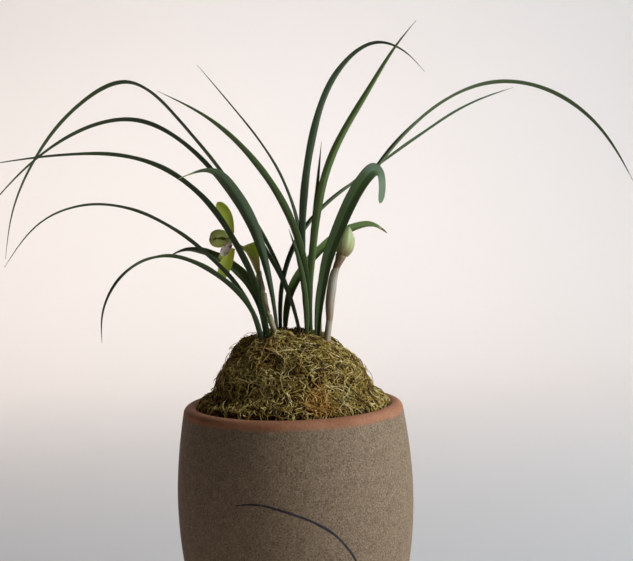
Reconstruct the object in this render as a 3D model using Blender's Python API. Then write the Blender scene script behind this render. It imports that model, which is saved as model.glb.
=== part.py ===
"""A spring orchid growing in a tall stoneware pot.

Metres, +Z up. The origin is the centre of the pot's underside, X is to the right and -Y is the
front. The pot holds potting mix and a mound of moss. Three growths sit in pockets of the moss, each a
pseudobulb with its fan of leaves; one flower stalk and one budding stalk rise between them.

Leaves, sepals and bracts are blades: a smooth curve in an upright plane, given as points (out, up) in
millimetres from the blade's foot, carries a folded section whose width, fold and turn change on the way.
"""
import math

import bmesh
import bpy
import numpy as np

MM = 0.001

# ---- driving dimensions, metres -------------------------------------------------------------------
CLEARANCE = 0.0003          # between pieces that touch

POT_HEIGHT = 0.1795         # underside to the top of the lip
POT_FOOT_RADIUS = 0.052     # flat underside
POT_BELLY_RADIUS = 0.0785   # widest place
POT_BELLY_HEIGHT = 0.118
POT_MOUTH_RADIUS = 0.073    # outside of the lip
POT_LIP_WIDTH = 0.010       # across the rounded lip
POT_LIP_DEPTH = 0.012       # how far down the lip thickens the wall inside
POT_WALL = 0.007
POT_FLOOR = 0.010
POT_SWELL = 0.82            # power that fills out the curve from the foot to the belly
POT_SHOULDER = 1.8          # power that draws in the curve from the belly to the mouth

MIX_DROP = 0.014            # top of the potting mix below the lip
MOSS_RISE = 0.048           # top of the moss mound above the lip
MOSS_EDGE_GAP = 0.0015      # moss to the inside of the lip
CROWN_DEPTH = 0.0125        # tops of the pseudobulbs below the top of the moss
# the mound's outline from its edge to its top, in shares of its radius and of its rise
MOSS_OUTLINE = [
    (1, 0), (0.965, 0.045), (0.885, 0.12), (0.83, 0.25), (0.785, 0.4), (0.65, 0.65), (0.433, 0.87), (0.2, 0.973), (0, 1)]

BLADE_THICKNESS = 0.7 * MM
PETAL_THICKNESS = 0.6 * MM
STALK_RADIUS = 1.3 * MM
SHEATH_WALL = 0.5 * MM

ROUND_STEPS = 44            # sides of the pot, the mix and the moss

# ---- heights that follow from them ----------------------------------------------------------------
MIX_TOP = POT_HEIGHT - MIX_DROP
MOSS_RADIUS = POT_MOUTH_RADIUS - POT_LIP_WIDTH - MOSS_EDGE_GAP
MOSS_TOP = POT_HEIGHT + MOSS_RISE
CROWN = MOSS_TOP - CROWN_DEPTH

# ---- growths: centre of the crown (x, y), neck of the moss pocket, pseudobulb radius and height ------
GROWTHS = {
    "left": ((-17.6, -4.6), 8.2, 5.0, 17.0),
    "middle": ((-7.6, 1.6), 10.6, 6.2, 20.0),
    "main": ((12.0, -1.4), 10.0, 7.4, 24.0),
}
BUD_POCKET = ((22.4, -3.9), 3.6)

# ---- leaves: foot (x, y), heading in degrees from +X, curve (out, up), width, turn (foot, middle, tip) --
LEAVES = {
    "leaf_left_low_arch": (
        (-17.3, -9.2), 216,
        [(0, 0), (9, 25), (38, 54), (72, 66), (98, 58), (115, 33), (116, 16)], 7.2, (10, 10, 0)),
    "leaf_left_mid_arch": (
        (-19.4, -7.2), 201,
        [(0, 0), (8, 30), (32, 62), (66, 88), (105, 99), (139, 89), (162, 62)], 7.2, (15, 0, 10)),
    "leaf_left_long_level": (
        (-16.8, -5.4), 190,
        [(0, 0), (4, 36), (15, 64), (40, 103), (75, 126), (120, 131), (177, 125)], 8.4, (35, 20, 0)),
    "leaf_left_broad": (
        (-17.8, 1.5), 130,
        [(0, 0), (5, 33), (23, 48.5), (57, 62), (90, 65.5), (117, 59.5)], 9.5, (0, -25, -45)),
    "leaf_left_young": (
        (-14.6, -10.8), 180,
        [(0, 0), (2, 21), (4.5, 35), (4, 49)], 5.0, (40, 30, 20)),
    "leaf_middle_folded": (
        (-8.6, -0.6), 236,
        [(0, 0), (4, 25), (8.5, 45), (13, 61), (21, 80), (31, 93), (46, 107), (61, 116), (81, 116), (96, 112)],
        10.4, (0, 40, 10)),
    "leaf_back_right_long": (
        (-6.4, 8.2), 34,
        [(0, 0), (3, 46), (23, 82), (64, 112), (126, 146), (169, 167), (216, 182)], 8.4, (0, -20, -35)),
    "leaf_back_right_short": (
        (-4.2, 9.8), 52,
        [(0, 0), (7, 34), (40, 64), (83, 78.5), (109, 79), (124, 73)], 8.2, (0, 20, 45)),
    "leaf_main_left_arch": (
        (6.8, -4), 176,
        [(0, 0), (6, 31), (29, 78), (63, 127), (107, 154), (154, 143), (199, 108), (217, 88)],
        8.2, (0, 20, -30)),
    "leaf_main_tall_arch": (
        (7.4, 0.8), 166,
        [(0, 0), (8, 35), (41, 102), (84, 157), (118, 182), (152, 170), (186, 137), (210, 92), (216, 63)],
        8.0, (0, 10, -20)),
    "leaf_main_left_upper": (
        (9.5, -4.6), 203,
        [(0, 0), (-1, 47), (10, 90), (34, 126), (64, 152), (95, 168)], 6.8, (0, 40, 10)),
    "leaf_main_left_fine": (
        (10.2, 7), 142,
        [(0, 0), (0, 39), (7, 88), (31, 133), (64, 169), (93, 197)], 5.6, (0, 25, 20)),
    "leaf_main_young": (
        (9.6, -8), 205,
        [(0, 0), (0, 38), (4, 61), (10, 80)], 5.2, (0, 40, 20)),
    "leaf_main_centre_arch": (
        (12.2, 1.6), -10,
        [(0, 0), (-3, 61), (-1, 99), (7, 144), (28, 187), (50, 199), (65, 194), (80, 179)],
        7.8, (0, -40, -10)),
    "leaf_main_inner": (
        (13, 4.2), 20,
        [(0, 0), (2, 59), (7, 104), (11, 137)], 5.0, (0, 40, 30)),
    "leaf_main_upright": (
        (14.1, -2.8), -20,
        [(0, 0), (-0.5, 34), (4, 79), (17, 126), (42, 167), (63, 196), (75, 209)], 6.6, (0, -50, -30)),
    "leaf_main_right_arch": (
        (16.8, 2.4), 20,
        [(0, 0), (3, 39), (28, 94), (68, 143), (116, 173), (151, 178), (187, 170), (224, 145), (252, 106)],
        8.4, (0, -10, -20)),
}
LEAVES_BROAD_ABOVE = {"leaf_middle_folded"}       # fullest above their middle
LEAVES_BLUNT = {"leaf_back_right_short"}         # broad to a cut-off tip

# ---- the leaf that creases over: points (x, y, height above the crown) and the way its upper face looks ----
CREASED_LEAF = [
    (17, -6.6, 0), (19.5, -7, 30.7), (22, -8, 45.4), (25.1, -9.5, 59.3), (29.9, -11, 72.2), (38.8, -13, 92.2),
    (49.4, -12, 110), (54, -10, 115.2), (57.4, -7.5, 117.1), (60.8, -5, 115.1), (61.9, -4.4, 110.2),
    (61.8, -4.6, 103), (60.5, -5, 94.9)]
CREASED_LEAF_FACING = -90
CREASED_LEAF_WIDTH = 9.4
NO_TURN = (0, 0, 0)

# ---- short basal sheaths and bracts, in the same terms as the leaves ---------------------------------
BASAL_SHEATHS = {
    "sheath_main_left": ((6.4, -7.6), 188, [(0, 0), (0.5, 12), (1.5, 22)], 4.4, (0, 0, 0)),
    "sheath_main_right": ((18.0, -0.6), 0, [(0, 0), (0.3, 10), (1, 19)], 4.2, (0, 0, 0)),
    "sheath_bud_stalk": (
        (19.9, -3.0), 10, [(0, 0), (-0.3, 17), (1.5, 35), (7, 53), (10.5, 62)], 3.4, (-30, -40, -40)),
}

# ---- flower stalk, budding stalk and what they carry: points (x, y, height above the crown) ------------
FLOWER_STALK = [
    (-11, -7, 0), (-10.9, -7, 12), (-12.8, -6.2, 19), (-15.8, -2.4, 27), (-18.7, 2.2, 42), (-20.6, 5.6, 48)]
FLOWER_STALK_SHEATHS = ((0.16, 0.40), (0.46, 0.68), (0.74, 0.96))   # shares of the stalk's length
BUD_STALK = [
    (22.6, -4.2, 0), (24, -4.2, 9), (25.7, -3, 21), (26.2, -1.8, 30), (27.5, -1, 39), (30.6, 0.4, 52.5),
    (33.9, 1, 58.6)]
BUD_STALK_SHEATHS = ((0.04, 0.30, (0.1, 0.2, 0.4)), (0.32, 0.86, (0.1, 1.3, 0.5)))   # and how loose, mm
PEDICEL = [(-20.5, 6.2, 52.8), (-21.7, 6.6, 58.1), (-26.2, 7.2, 64.2), (-32.1, 7.8, 68.4), (-36.4, 8, 70.5)]
COLUMN = [(-38.1, 8, 71.2), (-40.7, 7.6, 72.4), (-43.7, 7.4, 72.2)]
COLUMN_RADIUS = 1.6 * MM
BUD_AXIS = [(34.4, 1, 59.6), (37.3, 1, 70), (40.2, 1, 80)]
BUD_RADIUS = 6.4 * MM

# points (x, y, height above the crown), the way the inner face looks at the foot, width, fold (foot, beyond)
FLORAL_BLADES = {
    "spathe": ([(-21.2, 4.6, 50.2), (-22, 4.4, 56.2), (-23.6, 4.2, 63), (-26.2, 4, 70.7)], -90, 11.5, (60, 35)),
    "sepal_dorsal": ([(-38.2, 9, 77.4), (-40.2, 9, 85.2), (-43, 8, 93), (-47, 6, 98.6)], -90, 8.8, (20, 15)),
    "sepal_near": ([(-37.8, 7, 67.9), (-40.6, 6, 61.3), (-43.4, 5.5, 54.7), (-45.8, 6, 47.4)], -90, 8.8, (20, 15)),
    "sepal_far": ([(-39.2, 12, 67.8), (-41.7, 17, 64.3), (-44.2, 22, 61.4), (-47.4, 27, 59.3)], -90, 8.6, (20, 15)),
    "petal_near": (
        [(-39.4, 7, 69.6), (-44.1, 6.5, 68.4), (-49.1, 6.5, 68.3), (-52.4, 7, 70.6), (-53.1, 7.5, 73.3)],
        180, 8.5, (50, 60)),
    "petal_far": (
        [(-39.4, 8, 75.6), (-42.2, 8, 78.7), (-47.2, 8, 80.1), (-51.6, 8, 78.2), (-53, 8, 74.3)],
        180, 11.5, (50, 60)),
    "lip": ([(-38.4, 4.4, 71), (-40.8, 3.2, 68.4), (-43.1, 2.2, 65.5), (-43.9, 2.6, 62.6)], -90, 6.2, (25, 20)),
    "bract_bud": ([(39.4, 1, 60.3), (42.9, 1, 63.7), (44.5, 1, 67.7), (44.5, 1, 72.1)], 180, 7.4, (25, 25)),
}
COLLAR = ((31.3, 0.55, 53.9), (32.4, 0.8, 56.2), (33.3, 0.95, 58.0))
COLLAR_RADII = (1.7 * MM, 2.3 * MM, 3.0 * MM)

# ---- colours ---------------------------------------------------------------------------------------
FINISHES = {
    "stoneware": ((0.105, 0.085, 0.065, 1), 0.75),
    "potting_mix": ((0.05, 0.03, 0.02, 1), 0.95),
    "moss": ((0.16, 0.15, 0.035, 1), 0.95),
    "pseudobulb": ((0.12, 0.17, 0.05, 1), 0.6),
    "leaf": ((0.03, 0.07, 0.02, 1), 0.4),
    "basal_sheath": ((0.16, 0.09, 0.07, 1), 0.6),
    "stalk": ((0.30, 0.28, 0.12, 1), 0.5),
    "papery_sheath": ((0.50, 0.42, 0.32, 1), 0.7),
    "sepal": ((0.36, 0.46, 0.08, 1), 0.5),
    "lip": ((0.75, 0.60, 0.50, 1), 0.5),
    "bud": ((0.36, 0.42, 0.12, 1), 0.5),
}


def clear_scene():
    for thing in list(bpy.data.objects):
        bpy.data.objects.remove(thing, do_unlink=True)


def finish(name):
    """The named finish as a Principled material, made once."""
    found = bpy.data.materials.get(name)
    if found:
        return found
    colour, roughness = FINISHES[name]
    material = bpy.data.materials.new(name)
    material.use_nodes = True
    material.diffuse_color = colour
    shader = material.node_tree.nodes["Principled BSDF"]
    shader.inputs["Base Color"].default_value = colour
    shader.inputs["Roughness"].default_value = roughness
    shader.inputs["Metallic"].default_value = 0.0
    return material


def add_solid(name, points, faces, finish_name):
    """One object from points and faces, its faces turned outwards and shaded smooth."""
    mesh = bpy.data.meshes.new(name)
    mesh.from_pydata([tuple(point) for point in points], [], faces)
    edit = bmesh.new()
    edit.from_mesh(mesh)
    bmesh.ops.recalc_face_normals(edit, faces=edit.faces)
    edit.to_mesh(mesh)
    edit.free()
    mesh.shade_smooth()
    mesh.set_sharp_from_angle(angle=math.radians(40))
    mesh.materials.append(finish(finish_name))
    solid = bpy.data.objects.new(name, mesh)
    bpy.context.collection.objects.link(solid)
    return solid


def smooth_path(stations, count):
    """count points evenly spaced along the natural cubic spline through the stations.

    The spline's parameter is the chord length k; its second derivatives M solve
    h0 M0 + 2 (h0 + h1) M1 + h1 M2 = 6 (slope1 - slope0), with M = 0 at both ends.
    """
    knots = np.asarray(stations, float)
    chords = np.linalg.norm(np.diff(knots, axis=0), axis=1)
    k = np.concatenate([[0.0], np.cumsum(chords)])
    size = len(knots)
    system = np.eye(size)
    right = np.zeros_like(knots)
    slopes = np.diff(knots, axis=0) / chords[:, None]
    for i in range(1, size - 1):
        system[i, i - 1:i + 2] = chords[i - 1], 2 * (chords[i - 1] + chords[i]), chords[i]
        right[i] = 6 * (slopes[i] - slopes[i - 1])
    bend = np.linalg.solve(system, right)
    fine = np.linspace(0, k[-1], 40 * size)
    span = np.clip(np.searchsorted(k, fine, side="right") - 1, 0, size - 2)
    h = chords[span][:, None]
    a = (k[span + 1] - fine)[:, None]
    b = (fine - k[span])[:, None]
    curve = (bend[span] * a ** 3 + bend[span + 1] * b ** 3) / (6 * h)
    curve += (knots[span] / h - bend[span] * h / 6) * a + (knots[span + 1] / h - bend[span + 1] * h / 6) * b
    lengths = np.concatenate([[0.0], np.cumsum(np.linalg.norm(np.diff(curve, axis=0), axis=1))])
    wanted = np.linspace(0, lengths[-1], count)
    return np.stack([np.interp(wanted, lengths, curve[:, axis]) for axis in range(curve.shape[1])], axis=1)


def ring_faces(rings, sides):
    """Quads between closed rings of points, with an n-gon on each end."""
    faces = []
    for ring in range(rings - 1):
        for side in range(sides):
            after = (side + 1) % sides
            low, high = ring * sides, (ring + 1) * sides
            faces.append((low + side, low + after, high + after, high + side))
    faces.append(tuple(range(sides - 1, -1, -1)))
    faces.append(tuple(range((rings - 1) * sides, rings * sides)))
    return faces


def turned(name, outline, finish_name, steps=ROUND_STEPS, centre=(0, 0)):
    """A turned solid: outline is (radius, height) from one end of the axis to the other."""
    angles = np.arange(steps) * 2 * math.pi / steps
    points, faces = [(centre[0], centre[1], outline[0][1])], []
    for radius, height in outline[1:-1]:
        points += [(centre[0] + radius * math.cos(a), centre[1] + radius * math.sin(a), height) for a in angles]
    points.append((centre[0], centre[1], outline[-1][1]))
    last = len(points) - 1
    rings = len(outline) - 2
    for side in range(steps):
        after = (side + 1) % steps
        faces.append((0, 1 + side, 1 + after))
        faces.append((last, last - steps + after, last - steps + side))
        for ring in range(rings - 1):
            low, high = 1 + ring * steps, 1 + (ring + 1) * steps
            faces.append((low + side, high + side, high + after, low + after))
    return add_solid(name, points, faces, finish_name)


def unit(vectors):
    return vectors / np.linalg.norm(vectors, axis=-1, keepdims=True)


def circle_along(path, sides):
    """Rings (stations, sides, 3) of unit vectors across a path that doesn't run along Y."""
    tangent = unit(np.gradient(path, axis=0))
    across = unit(np.cross(tangent, (0.0, 1.0, 0.0)))
    other = np.cross(tangent, across)
    turn = np.arange(sides) * 2 * math.pi / sides
    return across[:, None] * np.cos(turn)[None, :, None] + other[:, None] * np.sin(turn)[None, :, None]


def tube(name, path, radii, finish_name, sides=8):
    """A round solid along a path, with its radius at each point of the path."""
    radii = np.asarray(radii)[:, None, None]
    points = (path[:, None] + radii * circle_along(path, sides)).reshape(-1, 3)
    return add_solid(name, points, ring_faces(len(path), sides), finish_name)


def sleeve(name, path, inner, wall, finish_name, sides=8):
    """A thin open sleeve along a path: inner is its inside radius at each point of the path."""
    circle = circle_along(path, sides)
    inner = np.asarray(inner)[:, None, None]
    shells = [path[:, None] + radius * circle for radius in (inner + wall, inner)]
    rings = np.concatenate([shells[0], shells[1][::-1]])
    count = len(rings)
    faces = []
    for ring in range(count):
        low, high = ring * sides, (ring + 1) % count * sides
        for side in range(sides):
            after = (side + 1) % sides
            faces.append((low + side, low + after, high + after, high + side))
    return add_solid(name, rings.reshape(-1, 3), faces, finish_name)


def swell(t, foot, fullest):
    """Rises from foot to 1 along a quarter sine, and is 1 from the share fullest on."""
    return foot + (1 - foot) * np.sin(0.5 * math.pi * np.clip(t / fullest, 0, 1))


def leaf_width(t):
    """Narrow at the foot, full by a third of the way, then a long taper to the tip."""
    return swell(t, 0.32, 0.33) * (1 - t ** 3.2) ** 0.9


def broad_above_width(t):
    """Narrow for its lower half, fullest above the middle, then a quick taper."""
    return (0.3 + 0.7 * np.sin(0.5 * math.pi * np.clip(t / 0.62, 0, 1)) ** 4) * (1 - t ** 3) ** 0.7


def blunt_width(t):
    """Narrow at the foot and broad to a cut-off tip."""
    return swell(t, 0.32, 0.33) * (1 - t ** 12) ** 0.5


def width_of(name):
    if name in LEAVES_BROAD_ABOVE:
        return broad_above_width
    return blunt_width if name in LEAVES_BLUNT else leaf_width


def sheath_width(t):
    """Full at the foot, tapering to a point."""
    return (1 - t ** 2) ** 0.8


def sepal_width(t):
    """Narrow foot, broadest two thirds up, rounded tip."""
    return swell(t, 0.45, 0.6) * (1 - t ** 6) ** 0.5


def spathe_width(t):
    """Clasping at the foot, opening steadily to a broad cut-off mouth."""
    return 0.16 + 0.84 * t ** 0.8


def through_three(t, first, middle, last):
    """The parabola that is first, middle and last at t = 0, 1/2 and 1."""
    return first + (4 * middle - 3 * first - last) * t + (2 * first - 4 * middle + 2 * last) * t ** 2


def upright_frame(foot, heading, curve, stations):
    """A path in the upright plane that faces heading, the level axis across it and its upper side."""
    plane = smooth_path(np.asarray(curve, float) * MM, stations)
    angle = math.radians(heading)
    ahead = np.array([math.cos(angle), math.sin(angle), 0.0])
    level = np.array([-math.sin(angle), math.cos(angle), 0.0])
    path = np.asarray(foot) + plane[:, :1] * ahead + plane[:, 1:] * np.array([0, 0, 1.0])
    upper = np.cross(unit(np.gradient(path, axis=0)), level)
    return path, np.broadcast_to(level, path.shape), upper


def carried_frame(path, facing):
    """A free path, the axis across it and its upper side, which looks towards facing at the foot."""
    tangent = unit(np.gradient(path, axis=0))
    upper = np.empty_like(path)
    angle = math.radians(facing)
    last = np.array([math.cos(angle), math.sin(angle), 0.0])
    for station, direction in enumerate(tangent):
        last = unit(last - direction * (direction @ last))
        upper[station] = last
    return path, np.cross(upper, tangent), upper


def blade(name, frame, width, turn, fold, shape, thickness, finish_name, across=3, inset=0.5):
    """A folded blade along the path of a frame (path, level axis, upper side).

    At share t of its length the half widths rise from the keel by the fold angle, which closes from its
    first value to its second within an eighth of the length, and the whole section is turned about the
    path by the turn angle, a parabola through its three values. Above the foot the path runs inset of the
    way from the keel to the margins.
    """
    path, level, upper = frame
    t = np.linspace(0, 1, len(path))
    spin = through_three(t, *np.radians(turn))[:, None]
    edge = level * np.cos(spin) + upper * np.sin(spin)
    face = upper * np.cos(spin) - level * np.sin(spin)
    settled = 1 - np.exp(-8 * t)
    lean = np.radians(fold[0] + (fold[1] - fold[0]) * settled)[:, None, None]
    half = 0.5 * np.maximum(width * MM * shape(t), 0.5 * MM)[:, None, None]
    v = np.linspace(-1, 1, across)[None, :, None]
    rise = np.abs(v) - inset * settled[:, None, None]
    top = path[:, None] + half * (v * np.cos(lean) * edge[:, None] + rise * np.sin(lean) * face[:, None])
    under = top - face[:, None] * np.minimum(thickness / np.cos(lean), 1.6 * thickness)
    rings = np.concatenate([top, under[:, ::-1]], axis=1)
    return add_solid(name, rings.reshape(-1, 3), ring_faces(len(path), 2 * across), finish_name)


def belly_curve(share):
    """Outside radius at a share of the belly's height: a quarter sine from the foot, filled out near the foot."""
    swelling = math.sin(0.5 * math.pi * share ** POT_SWELL)
    return POT_FOOT_RADIUS + (POT_BELLY_RADIUS - POT_FOOT_RADIUS) * swelling


def pot_outline():
    """Outside from the foot to the lip, over the rounded lip, and down the inside to the floor."""
    bevel = 2 * MM
    lip = 0.5 * POT_LIP_WIDTH
    shoulder = POT_HEIGHT - lip
    outline = [(0, 0), (POT_FOOT_RADIUS - bevel, 0)]
    for share in np.linspace(0.02, 1, 9):
        outline.append((belly_curve(share), share * POT_BELLY_HEIGHT))
    for share in np.linspace(0.2, 1, 5):
        height = POT_BELLY_HEIGHT + (shoulder - POT_BELLY_HEIGHT) * share
        radius = POT_BELLY_RADIUS - (POT_BELLY_RADIUS - POT_MOUTH_RADIUS) * share ** POT_SHOULDER
        outline.append((radius, height))
    for angle in np.linspace(0.25 * math.pi, math.pi, 4):
        radius = POT_MOUTH_RADIUS - lip + lip * math.cos(angle)
        outline.append((radius, shoulder + lip * math.sin(angle)))
    return outline + [(radius, height) for radius, height in reversed(inside_outline(0.0))]


def inside_outline(gap):
    """The hollow from the centre of its floor to the lip's underside, drawn in by gap."""
    floor = POT_FLOOR + gap
    top = POT_HEIGHT - POT_LIP_DEPTH
    hollow = [(0, floor), (POT_FOOT_RADIUS - POT_WALL - gap, floor)]
    for share in (0.25, 0.5, 0.75, 1.0):
        height = floor + (POT_BELLY_HEIGHT - floor) * share
        hollow.append((belly_curve(height / POT_BELLY_HEIGHT) - POT_WALL - gap, height))
    hollow.append((POT_MOUTH_RADIUS - POT_LIP_WIDTH - gap, top))
    return hollow


def hollow_radius(height, gap):
    """Radius of the hollow at a height above its belly, drawn in by gap."""
    radii, heights = zip(*inside_outline(gap)[-2:])
    return float(np.interp(height, heights, radii))


def make_pot():
    return turned("pot", pot_outline(), "stoneware")


def make_potting_mix():
    hollow = [place for place in inside_outline(CLEARANCE) if place[1] < MIX_TOP]
    top = [(hollow_radius(MIX_TOP, CLEARANCE), MIX_TOP), (0, MIX_TOP)]
    return turned("potting_mix", hollow + top, "potting_mix")


def bulb_outline(radius, height, gap):
    """A barrel-shaped pseudobulb under the crown: r = R (1 - 0.45 |2u - 1|^2.5), grown by gap."""
    top = CROWN - CLEARANCE + gap
    bottom = CROWN - CLEARANCE - height - gap
    outline = [(0, bottom)]
    for u in np.linspace(0, 1, 7):
        outline.append((radius * (1 - 0.45 * abs(2 * u - 1) ** 2.5) + gap, bottom + u * (top - bottom)))
    return outline + [(0, top)]


def hide_cutter(cutter):
    cutter.hide_render = True
    cutter.display_type = "WIRE"


def cut(solid, cutter):
    """Takes the cutter's shape out of the solid, and hides the cutter."""
    hide_cutter(cutter)
    boolean = solid.modifiers.new(cutter.name, "BOOLEAN")
    boolean.operation = "DIFFERENCE"
    boolean.solver = "MANIFOLD"
    boolean.object = cutter


def make_moss():
    """The mound's outline over the lip, on a plug that fills the mouth, with the pockets of the growths."""
    plug = MIX_TOP + CLEARANCE
    outline = [(0, plug), (MOSS_RADIUS - MOSS_EDGE_GAP, plug)]
    for out, up in smooth_path(MOSS_OUTLINE, 11)[:-1]:
        outline.append((MOSS_RADIUS * out, POT_HEIGHT + MOSS_RISE * up))
    moss = turned("moss_mound", outline + [(0, MOSS_TOP)], "moss", steps=28)
    for number, (growth, (centre, neck, radius, height)) in enumerate(GROWTHS.items()):
        place = (centre[0] * MM, centre[1] * MM)
        bulb = bulb_outline(radius * MM, height * MM, CLEARANCE)
        cut(moss, turned("cut_bulb_" + growth, bulb, "moss", 14, place))
        cut(moss, neck_cutter("cut_neck_" + growth, place, neck * MM, CLEARANCE * (2 + number)))
    place = (BUD_POCKET[0][0] * MM, BUD_POCKET[0][1] * MM)
    cut(moss, neck_cutter("cut_neck_bud", place, BUD_POCKET[1] * MM, CLEARANCE))
    return moss


def neck_cutter(name, place, radius, below):
    """A flaring round pocket from a little below the crown to above the mound."""
    above = MOSS_TOP + CROWN_DEPTH
    floor = CROWN - below
    return turned(name, [(0, floor), (radius, floor), (1.5 * radius, above), (0, above)], "moss", 14, place)


def make_pseudobulbs():
    for growth, (centre, _, radius, height) in GROWTHS.items():
        outline = bulb_outline(radius * MM, height * MM, 0.0)
        turned("pseudobulb_" + growth, outline, "pseudobulb", 14, (centre[0] * MM, centre[1] * MM))


def make_leaves():
    for name, (foot, heading, curve, width, turn) in LEAVES.items():
        base = (foot[0] * MM, foot[1] * MM, CROWN + CLEARANCE)
        stations = 22 if curve[-1][0] > 60 else 14
        frame = upright_frame(base, heading, curve, stations)
        blade(name, frame, width, turn, (62, 24), width_of(name), BLADE_THICKNESS, "leaf")
    path = smooth_path(above_crown(CREASED_LEAF) + np.array([0, 0, CLEARANCE]), 34)
    frame = carried_frame(path, CREASED_LEAF_FACING)
    fold = (62, 12)
    blade("leaf_main_broad_folded", frame, CREASED_LEAF_WIDTH, NO_TURN, fold, blunt_width, BLADE_THICKNESS, "leaf")


def make_basal_sheaths():
    for name, (foot, heading, curve, width, turn) in BASAL_SHEATHS.items():
        base = (foot[0] * MM, foot[1] * MM, CROWN + CLEARANCE)
        frame = upright_frame(base, heading, curve, 8)
        blade(name, frame, width, turn, (50, 40), sheath_width, SHEATH_WALL, "basal_sheath")


def above_crown(places):
    """Places given as x, y and height above the crown in millimetres, as points in metres."""
    return np.asarray(places, float) * MM + np.array([0, 0, CROWN])


def part_of(path, first, last, count):
    """The stretch of a path between two shares of its length."""
    share = np.linspace(0, 1, len(path))
    wanted = np.linspace(first, last, count)
    return np.stack([np.interp(wanted, share, path[:, axis]) for axis in range(3)], axis=1)


def make_flower_stalk():
    path = smooth_path(above_crown(FLOWER_STALK) + np.array([0, 0, CLEARANCE]), 14)
    tube("flower_stalk", path, np.full(14, STALK_RADIUS), "stalk")
    for number, (first, last) in enumerate(FLOWER_STALK_SHEATHS, 1):
        inside = STALK_RADIUS + CLEARANCE + np.linspace(0, 0.4 * MM, 5)
        name = f"flower_stalk_sheath_{number}"
        sleeve(name, part_of(path, first, last, 5), inside, SHEATH_WALL, "papery_sheath")
    pedicel = smooth_path(above_crown(PEDICEL), 10)
    tube("pedicel", pedicel, np.linspace(STALK_RADIUS - CLEARANCE, STALK_RADIUS, 10), "stalk")


def make_bud_stalk():
    path = smooth_path(above_crown(BUD_STALK) + np.array([0, 0, CLEARANCE]), 16)
    tube("bud_stalk", path, np.linspace(STALK_RADIUS, 0.85 * STALK_RADIUS, 16), "stalk")
    for number, (first, last, loose) in enumerate(BUD_STALK_SHEATHS, 1):
        inside = STALK_RADIUS + CLEARANCE + MM * through_three(np.linspace(0, 1, 7), *loose)
        name = f"bud_stalk_sheath_{number}"
        sleeve(name, part_of(path, first, last, 7), inside, SHEATH_WALL, "papery_sheath")
    sleeve("bud_collar", above_crown(COLLAR), COLLAR_RADII, SHEATH_WALL, "papery_sheath")
    axis = smooth_path(above_crown(BUD_AXIS), 11)
    share = np.linspace(0.02, 0.985, 11)
    tube("bud", axis, BUD_RADIUS * np.sin(math.pi * share ** 0.86) ** 0.75, "bud", 12)


def make_flower():
    """Sepals, petals, lip and column, with the spathe below and the bud's own bract."""
    shapes = {"spathe": spathe_width}
    finishes = {"lip": "lip", "bract_bud": "papery_sheath"}
    for name, (places, facing, width, fold) in FLORAL_BLADES.items():
        frame = carried_frame(smooth_path(above_crown(places), 10), facing)
        shape = shapes.get(name, sepal_width)
        colour = finishes.get(name, "sepal")
        blade(name, frame, width, NO_TURN, fold, shape, PETAL_THICKNESS, colour, 5, 0.0)
    column = smooth_path(above_crown(COLUMN), 8)
    tube("column", column, COLUMN_RADIUS * np.array([0.5, 0.75, 0.85, 0.9, 0.95, 1.0, 0.85, 0.4]), "lip")


clear_scene()
make_pot()
make_potting_mix()
make_moss()
make_pseudobulbs()
make_leaves()
make_basal_sheaths()
make_flower_stalk()
make_bud_stalk()
make_flower()
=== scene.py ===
"""The potted spring orchid, finished: fine leaves, flower, bud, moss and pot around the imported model.

Metres, +Z up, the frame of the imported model. Leaves, sepals and bracts are blades: a smooth curve in an
upright plane, given as points (out, up) in millimetres from the blade's foot, or a free path, carries a
folded section whose width, fold and turn change on the way.
"""
import math

import bpy
import mathutils
import numpy as np
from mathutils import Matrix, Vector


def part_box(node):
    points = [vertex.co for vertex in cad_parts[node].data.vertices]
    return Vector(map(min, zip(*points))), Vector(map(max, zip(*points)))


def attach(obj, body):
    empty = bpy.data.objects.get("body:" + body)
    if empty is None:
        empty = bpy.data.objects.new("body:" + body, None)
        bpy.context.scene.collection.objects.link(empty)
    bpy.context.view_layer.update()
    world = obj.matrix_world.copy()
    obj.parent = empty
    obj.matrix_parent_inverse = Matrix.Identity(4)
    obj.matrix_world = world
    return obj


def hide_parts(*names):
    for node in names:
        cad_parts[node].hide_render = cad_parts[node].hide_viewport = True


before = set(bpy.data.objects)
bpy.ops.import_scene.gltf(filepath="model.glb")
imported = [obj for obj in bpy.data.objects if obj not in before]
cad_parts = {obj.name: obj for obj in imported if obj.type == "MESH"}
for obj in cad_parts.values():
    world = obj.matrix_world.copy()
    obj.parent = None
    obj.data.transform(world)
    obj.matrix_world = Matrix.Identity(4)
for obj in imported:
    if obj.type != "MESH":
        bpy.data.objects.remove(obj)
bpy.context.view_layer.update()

MM = 0.001
UP = np.array([0.0, 0.0, 1.0])

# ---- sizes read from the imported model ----
POT_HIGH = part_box("pot")[1]
POT_TOP = float(POT_HIGH[2])
POT_BELLY_RADIUS = float(POT_HIGH[0])
MOSS_RADIUS = float(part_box("moss_mound")[1][0])
MIX_TOP = float(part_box("potting_mix")[1][2])
CROWN = float(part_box("pseudobulb_main")[1][2]) + 0.3 * MM

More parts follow.
